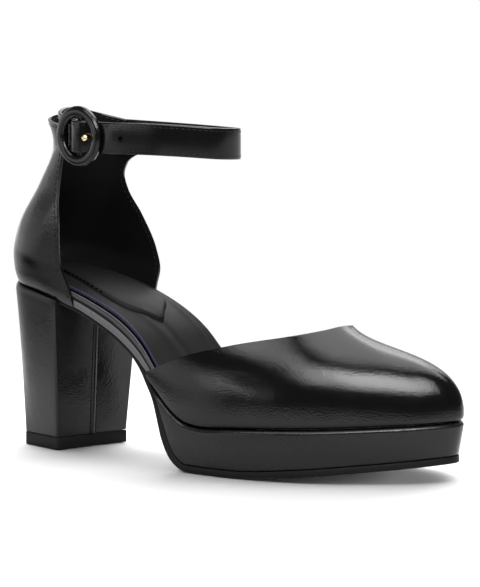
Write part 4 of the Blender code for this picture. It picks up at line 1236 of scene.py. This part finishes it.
pad = formed("sock_cushion", pad_grid(columns=90, rows=40), ring=True)
dress(pad, "sock_pad", [SOCK], sharper_than=60.0)

# %% [markdown]
# The ankle strap is a folded band, 15 mm wide and 2 mm thick, with eased edges. Its front part leaves the
# inner wing, passes round the ankle, goes under the buckle's ring, over the bar and under the ring again.
# Its back part lies inside the quarter and carries the buckle. Both are the strap's section carried along
# a smooth path.

# %% Ankle straps
STRAP_WIDTH = 15.0
STRAP_THICKNESS = 2.0
STRAP_ROUND = 0.75
STRAP_SOFTEN = 6.0
THREADED_STEPS = 26
StrapRow = namedtuple("StrapRow", "x y z")
FRONT_STRAP = [StrapRow(*row) for row in (
    (47.0, 22.9, 151.2), (63.0, 23.2, 151.0), (84.0, 21.6, 150.9), (107.0, 15.2, 151.2),
    (121.6, 3.6, 152.2), (120.6, -10.6, 153.4), (104.0, -23.0, 155.0), (84.0, -28.4, 155.4),
)]
BACK_STRAP = [StrapRow(*row) for row in (
    (46.6, 22.9, 151.2), (38.5, 19.4, 153.2), (30.6, 10.5, 156.4), (28.2, -1.0, 158.2),
    (30.6, -12.0, 157.2), (37.2, -18.7, 156.0),
)]
FRONT_STRAP_LEAD = (17.0, 10.5)
THREADED = (9.0, -11.6)
BACK_STRAP_LEAD = (-11.0, -6.5)
BACK_STRAP_RISE = (-4.3, 1.5)
BACK_STRAP_END = -2.2
BUCKLE_INNER_RADIUS = 9.4
BUCKLE_THICKNESS = 3.2
BUCKLE_PLACE = np.array([52.2, -29.1, 155.0])
BUCKLE_TURN = math.radians(13.0)
BUCKLE_FORWARD = np.array([math.cos(BUCKLE_TURN), -math.sin(BUCKLE_TURN), 0.0])
BUCKLE_OUT = np.array([-math.sin(BUCKLE_TURN), -math.cos(BUCKLE_TURN), 0.0])
UP = np.array([0.0, 0.0, 1.0])
BAR_RADIUS = 0.9
BAR_OUT = -0.6
UNDER_RING = -BUCKLE_THICKNESS / 2 - GAP - STRAP_THICKNESS / 2
OVER_BAR = BAR_OUT + BAR_RADIUS + GAP + STRAP_THICKNESS / 2


def at_buckle(along, out, up=0.0):
    """A place at the buckle: along the strap towards the toe, outwards from the foot, and up."""
    return BUCKLE_PLACE + BUCKLE_FORWARD * along + BUCKLE_OUT * out + UP * up


def over_bar(along):
    """How far out the strap lies as it passes under the ring, over the bar and under again."""
    near = min(abs(along) / BUCKLE_INNER_RADIUS, 1.0)
    return OVER_BAR + (UNDER_RING - OVER_BAR) * near * near * (3.0 - 2.0 * near)


def through_rows(rows, step):
    """Points along a smooth line through the rows, about one step apart, with kinks averaged out."""
    points = np.array(rows, float)
    places = places_along(points)
    curve = softened(smooth_curve(places, points), 0.0, places[-1], STRAP_SOFTEN)
    return curve(np.linspace(0.0, places[-1], int(places[-1] / step)))


def strap_paths(step):
    """Centre lines of the front strap and of the back strap."""
    rows = list(FRONT_STRAP) + [tuple(at_buckle(along, UNDER_RING)) for along in FRONT_STRAP_LEAD]
    threaded = [at_buckle(along, over_bar(along)) for along in np.linspace(*THREADED, THREADED_STEPS)]
    front = np.vstack([through_rows(rows, step), threaded])
    under = UNDER_RING - STRAP_THICKNESS - GAP
    rows = list(BACK_STRAP) + [tuple(at_buckle(along, under)) for along in BACK_STRAP_LEAD]
    rise = at_buckle(BACK_STRAP_RISE[0], under + BACK_STRAP_RISE[1])
    back = np.vstack([through_rows(rows, step), [rise], [at_buckle(BACK_STRAP_END, BAR_OUT - BAR_RADIUS)]])
    return front, back


def strap_outward(path):
    """Unit vectors out of the strap's face, level with the floor."""
    run = run_of(path[:, :2])
    return np.column_stack([run[:, 1], -run[:, 0], np.zeros(len(run))])


def strap_grid(path):
    """Closed sections of a strap along its centre line."""
    outward = strap_outward(path)
    flat, tall = STRAP_THICKNESS / 2 - STRAP_ROUND, STRAP_WIDTH / 2 - STRAP_ROUND
    section = []
    for sign_out, sign_up, start in ((1, 1, 0.0), (-1, 1, 90.0), (-1, -1, 180.0), (1, -1, 270.0)):
        for angle in np.radians(start + np.linspace(0.0, 90.0, 5)):
            section.append((sign_out * flat + STRAP_ROUND * math.cos(angle),
                            sign_up * tall + STRAP_ROUND * math.sin(angle)))
    out, up = np.array(section + section[:1]).T
    return path[:, None] + outward[:, None] * out[None, :, None] + UP * up[None, :, None]


front_path, back_path = strap_paths(step=2.0)
front_strap = formed("ankle_strap_front", strap_grid(front_path), ring=True)
back_strap = formed("ankle_strap_back", strap_grid(back_path), ring=True)

# %% [markdown]
# The front strap has two punched holes: one that the prong uses now, right through, and a spare one further
# on that its lining still closes. Each punch is a cylinder that stands square to the strap, and a Boolean
# modifier takes it out.

# %% Punched holes
PUNCH_RADIUS = 1.25
PRONG_HOLE_ALONG = 5.2
SPARE_HOLE_ALONG = 24.0
PUNCH_LENGTH = 14.0
PUNCH_SIDE_WEIGHT = 0.2
ROUND_SIDES = 24
SPARE_HOLE_DEPTH = 1.2
THROUGH = 8.0


def punch(strap, along, depth):
    """Cut a round hole to a depth in the strap, at a place along it measured from the buckle's middle."""
    ahead = np.abs((front_path - BUCKLE_PLACE) @ BUCKLE_FORWARD - along)
    aside = np.abs(front_path[:, 1] - BUCKLE_PLACE[1]) * PUNCH_SIDE_WEIGHT
    spot = front_path[np.argmin(ahead + aside)]
    bpy.ops.object.select_all(action="DESELECT")
    bpy.ops.mesh.primitive_cylinder_add(vertices=ROUND_SIDES, radius=PUNCH_RADIUS * MM,
                                        depth=PUNCH_LENGTH * MM)
    tool = bpy.context.object
    out = STRAP_THICKNESS / 2 + PUNCH_LENGTH / 2 - depth
    tool.location = (spot + BUCKLE_OUT * out - CENTRE) * MM
    tool.rotation_euler = (math.pi / 2, 0.0, -BUCKLE_TURN)
    bpy.context.view_layer.update()
    apply_modifier(strap, "BOOLEAN", operation="DIFFERENCE", object=tool, solver="EXACT")
    bpy.data.objects.remove(tool)


punch(front_strap, PRONG_HOLE_ALONG, THROUGH)
punch(front_strap, SPARE_HOLE_ALONG, SPARE_HOLE_DEPTH)
for strap, node in ((front_strap, "front_strap"), (back_strap, "back_strap")):
    dress(strap, node, [STRAP_CALF])

# %% [markdown]
# The buckle is a flat ring covered in the same leather: a low dome in front, a fine rim where the cover is
# turned over its edge, and a flat back. A ring is the same all the way round, so its section is drawn once
# and spun about the ring's axis. The ring is then turned to stand against the strap.

# %% Buckle ring, bar and prong
RingRow = namedtuple("RingRow", "radius out")
RING_SECTION = [RingRow(*row) for row in (
    (9.75, -1.6), (9.4, -1.2), (9.4, 0.2), (9.62, 0.78), (10.15, 1.2), (11.0, 1.5), (12.0, 1.6),
    (13.0, 1.45), (13.7, 1.1), (14.02, 0.72), (14.12, 0.5), (14.42, 0.36), (14.5, 0.1), (14.5, -1.15),
    (14.1, -1.6),
)]
RING_STEPS = 120
BAR_EASE = 0.25


def stand_at_buckle(piece, tip, out):
    """Tip a piece, turn it square to the strap, place it at the buckle and fix that in its mesh."""
    piece.rotation_euler = (tip, 0.0, -BUCKLE_TURN)
    piece.location = (at_buckle(0.0, out) - CENTRE) * MM
    only(piece)
    bpy.ops.object.transform_apply(location=True, rotation=True, scale=True)


bpy.ops.object.select_all(action="DESELECT")
bpy.ops.mesh.primitive_circle_add(vertices=len(RING_SECTION), radius=1.0)
ring = bpy.context.object
ring.name = "buckle_ring"
for vertex, row in zip(ring.data.vertices, RING_SECTION):
    vertex.co = (row.radius * MM, 0.0, row.out * MM)
bpy.ops.object.mode_set(mode="EDIT")
bpy.ops.mesh.select_all(action="SELECT")
bpy.ops.mesh.spin(steps=RING_STEPS, angle=2 * math.pi, center=(0.0, 0.0, 0.0), axis=(0.0, 0.0, 1.0))
bpy.ops.object.mode_set(mode="OBJECT")
close_up(ring)
stand_at_buckle(ring, tip=math.pi / 2, out=0.0)
dress(ring, "buckle", [STRAP_CALF], sharper_than=50.0)

bpy.ops.object.select_all(action="DESELECT")
bpy.ops.mesh.primitive_cylinder_add(vertices=ROUND_SIDES, radius=BAR_RADIUS * MM,
                                    depth=2 * (BUCKLE_INNER_RADIUS - GAP) * MM)
bar = bpy.context.object
bar.name = "buckle_crossbar"
round_edges(bar, BAR_EASE, sharper_than=60.0)
stand_at_buckle(bar, tip=0.0, out=BAR_OUT)
dress(bar, "buckle_bar", [DARK_STEEL])

ProngRow = namedtuple("ProngRow", "along out")
PRONG = [ProngRow(*row) for row in (
    (2.2, -0.6), (3.6, -0.6), (5.0, 0.5), (6.2, 1.6),
)]
PRONG_RADIUS = 0.75
PRONG_TIP_RADIUS = 1.7
PRONG_TIP_ANGLES = (28.0, 176.0)
PRONG_TIP_STEPS = 16
PRONG_STEPS = 14
PRONG_SIDES = 20


def prong_grid():
    """Closed sections of the prong: a round pin that swells to a ball at its tip."""
    line = np.array(PRONG)
    places = places_along(line)
    path = smooth_curve(places, line)(np.linspace(0.0, places[-1], PRONG_STEPS))
    ahead = unit(path[-1] - path[-2])
    angles = np.radians(np.linspace(*PRONG_TIP_ANGLES, PRONG_TIP_STEPS))
    ball = path[-1] + ahead * (PRONG_TIP_RADIUS * (1.0 - np.cos(angles)))[:, None]
    spots = np.vstack([path, ball])
    sizes = np.concatenate([np.full(len(path), PRONG_RADIUS), PRONG_TIP_RADIUS * np.sin(angles)])
    run = run_of(spots)
    turns = np.linspace(0.0, 2 * math.pi, PRONG_SIDES + 1)
    grid = []
    for spot, size, step in zip(spots, sizes, run):
        aside = np.array([-step[1], step[0]])
        grid.append([at_buckle(*(spot + aside * math.cos(turn) * size), math.sin(turn) * size)
                     for turn in turns])
    return np.array(grid)


prong = formed("buckle_prong", prong_grid(), ring=True)
dress(prong, "prong", [GOLD])

# %% [markdown]
# Stitches hold the folded edges. One stitch is a small sphere drawn out into a grain of rice, modelled
# once; copies of it, each with its own mesh, are laid along every row and joined into one piece. Rows run
# along both edges of the strap, along the quarter's rim and front edges inside and out, and, in a dark
# waxed thread, along the sock's outer side and its front.

# %% Stitches
STITCH_LENGTH = 2.1
STITCH_PITCH = 2.7
STITCH_RADIUS = 0.26
STITCH_INSET = 1.7
STITCH_FLATNESS = 0.8


def along_row(points, outward, pitch):
    """Evenly spaced places along a line of points, and the directions out of the leather there."""
    places = places_along(points)
    count = max(2, int(places[-1] / pitch))
    where = (np.arange(count) + 0.5) * places[-1] / count
    return [np.column_stack([np.interp(where, places, column) for column in rows.T])
            for rows in (points, outward)]


def sew(name, rows, length=STITCH_LENGTH, pitch=STITCH_PITCH, radius=STITCH_RADIUS, thread=THREAD):
    """Lay stitches along rows, each a line of points with the direction out of the leather."""
    bpy.ops.object.select_all(action="DESELECT")
    bpy.ops.mesh.primitive_uv_sphere_add(segments=6, ring_count=5, radius=1.0)
    grain = bpy.context.object
    base = np.empty(len(grain.data.vertices) * 3)
    grain.data.vertices.foreach_get("co", base)
    base = base.reshape(-1, 3)[:, [2, 0, 1]] * np.array([length / 2, radius, radius * STITCH_FLATNESS])
    copies = []
    for points, outward in rows:
        spots, above = along_row(points, outward, pitch)
        run = run_of(spots)
        aside = unit(np.cross(above, run))
        above = np.cross(run, aside)
        for spot, ahead, side, high in zip(spots, run, aside, above):
            stitch = bpy.data.objects.new(name, grain.data.copy())
            shaped = spot + base @ np.array([ahead, side, high])
            stitch.data.vertices.foreach_set("co", ((shaped - CENTRE) * MM).ravel())
            bpy.context.scene.collection.objects.link(stitch)
            copies.append(stitch)
    bpy.data.objects.remove(grain)
    bpy.ops.object.select_all(action="DESELECT")
    for stitch in copies:
        stitch.select_set(True)
    bpy.context.view_layer.objects.active = copies[0]
    bpy.ops.object.join()
    seam = bpy.context.object
    seam.name = name
    print(name, "stitches:", len(copies))
    dress(seam, materials=[thread], sharper_than=80.0)


def strap_rows(path, inner_face):
    """Stitch rows along both edges of a strap, on its outer face and, if asked, its inner face."""
    outward = strap_outward(path)
    rows = []
    for up in (STRAP_WIDTH / 2 - STITCH_INSET, STITCH_INSET - STRAP_WIDTH / 2):
        for sign in (1.0, -1.0) if inner_face else (1.0,):
            rows.append((path + outward * sign * STRAP_THICKNESS / 2 + UP * up, outward * sign))
    return rows


sew("strap_stitches", strap_rows(front_path, True) + strap_rows(back_path[:-3], True))

# %% [markdown]
# On the quarter a row is a line of constant distance from an edge. Its height along the wall, or its turn
# round the heel, is found where the length of leather up to the edge is the stitch inset. The sock has
# heavier stitches, one row inside its outer edge and one across its front.

# %% Quarter and sock stitches
ROW_POINTS = 160
RIM_ROW_END = 0.97
FRONT_ROW_LEVELS = (0.04, 0.975)
FRONT_ROW_SEARCH = 0.06
FRONT_ROW_STEPS = 13


def quarter_normals(turn, level):
    """Unit normals out of the quarter's outer face."""
    step = 0.004
    aside = quarter_points(turn + step, level) - quarter_points(turn - step, level)
    above = quarter_points(turn, level + step) - quarter_points(turn, level - step)
    return unit(np.cross(above, aside))


def quarter_rows():
    """Stitch rows below the rim and inside both front edges, on both faces of the quarter."""
    lines = []
    turns = np.linspace(-RIM_ROW_END, RIM_ROW_END, ROW_POINTS)
    rim = rim_curve(turns)[:, 0]
    lines.append((turns, 1.0 - STITCH_INSET / (rim - bottom_height(*quarter_points(turns, 1.0)[:, :2].T))))
    levels = np.linspace(*FRONT_ROW_LEVELS, ROW_POINTS)
    for side in (-1.0, 1.0):
        spots = side * (1.0 - np.linspace(0.0, FRONT_ROW_SEARCH, FRONT_ROW_STEPS))
        found = []
        for level in levels:
            line = quarter_points(spots, np.full(len(spots), level))
            found.append(np.interp(STITCH_INSET, places_along(line), spots))
        lines.append((np.array(found), levels))
    rows = []
    for turn, level in lines:
        points, normal = quarter_points(turn, level), quarter_normals(turn, level)
        rows.append((points, normal))
        rows.append((points - normal * WALL, -normal))
    return rows


sew("quarter_stitches", quarter_rows())

SOCK_STITCH_RISE = 1.0
SOCK_SIDE_ROW = (np.linspace(0.12, 0.68, 120), 0.02)
SOCK_FRONT_ROW = (0.985, np.linspace(0.1, 0.92, 60))


def sock_rows():
    """One row of heavier stitches inside the pad's outer edge and one across its front."""
    rows = []
    for part, across in (SOCK_SIDE_ROW, SOCK_FRONT_ROW):
        along, x, y = pad_flat(*np.broadcast_arrays(part, across))
        height = insole_top(along, x, y) + SOCK_STITCH_RISE
        points = np.column_stack([x, y, height])
        rows.append((points, np.repeat(UP[None], len(points), axis=0)))
    return rows


sew("sock_stitches", sock_rows(), length=1.9, pitch=3.0, radius=0.6, thread=SOCK_THREAD)

# %% Sizes
low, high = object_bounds()
print("visual size in mm:", [round(edge / MM, 1) for edge in high - low])
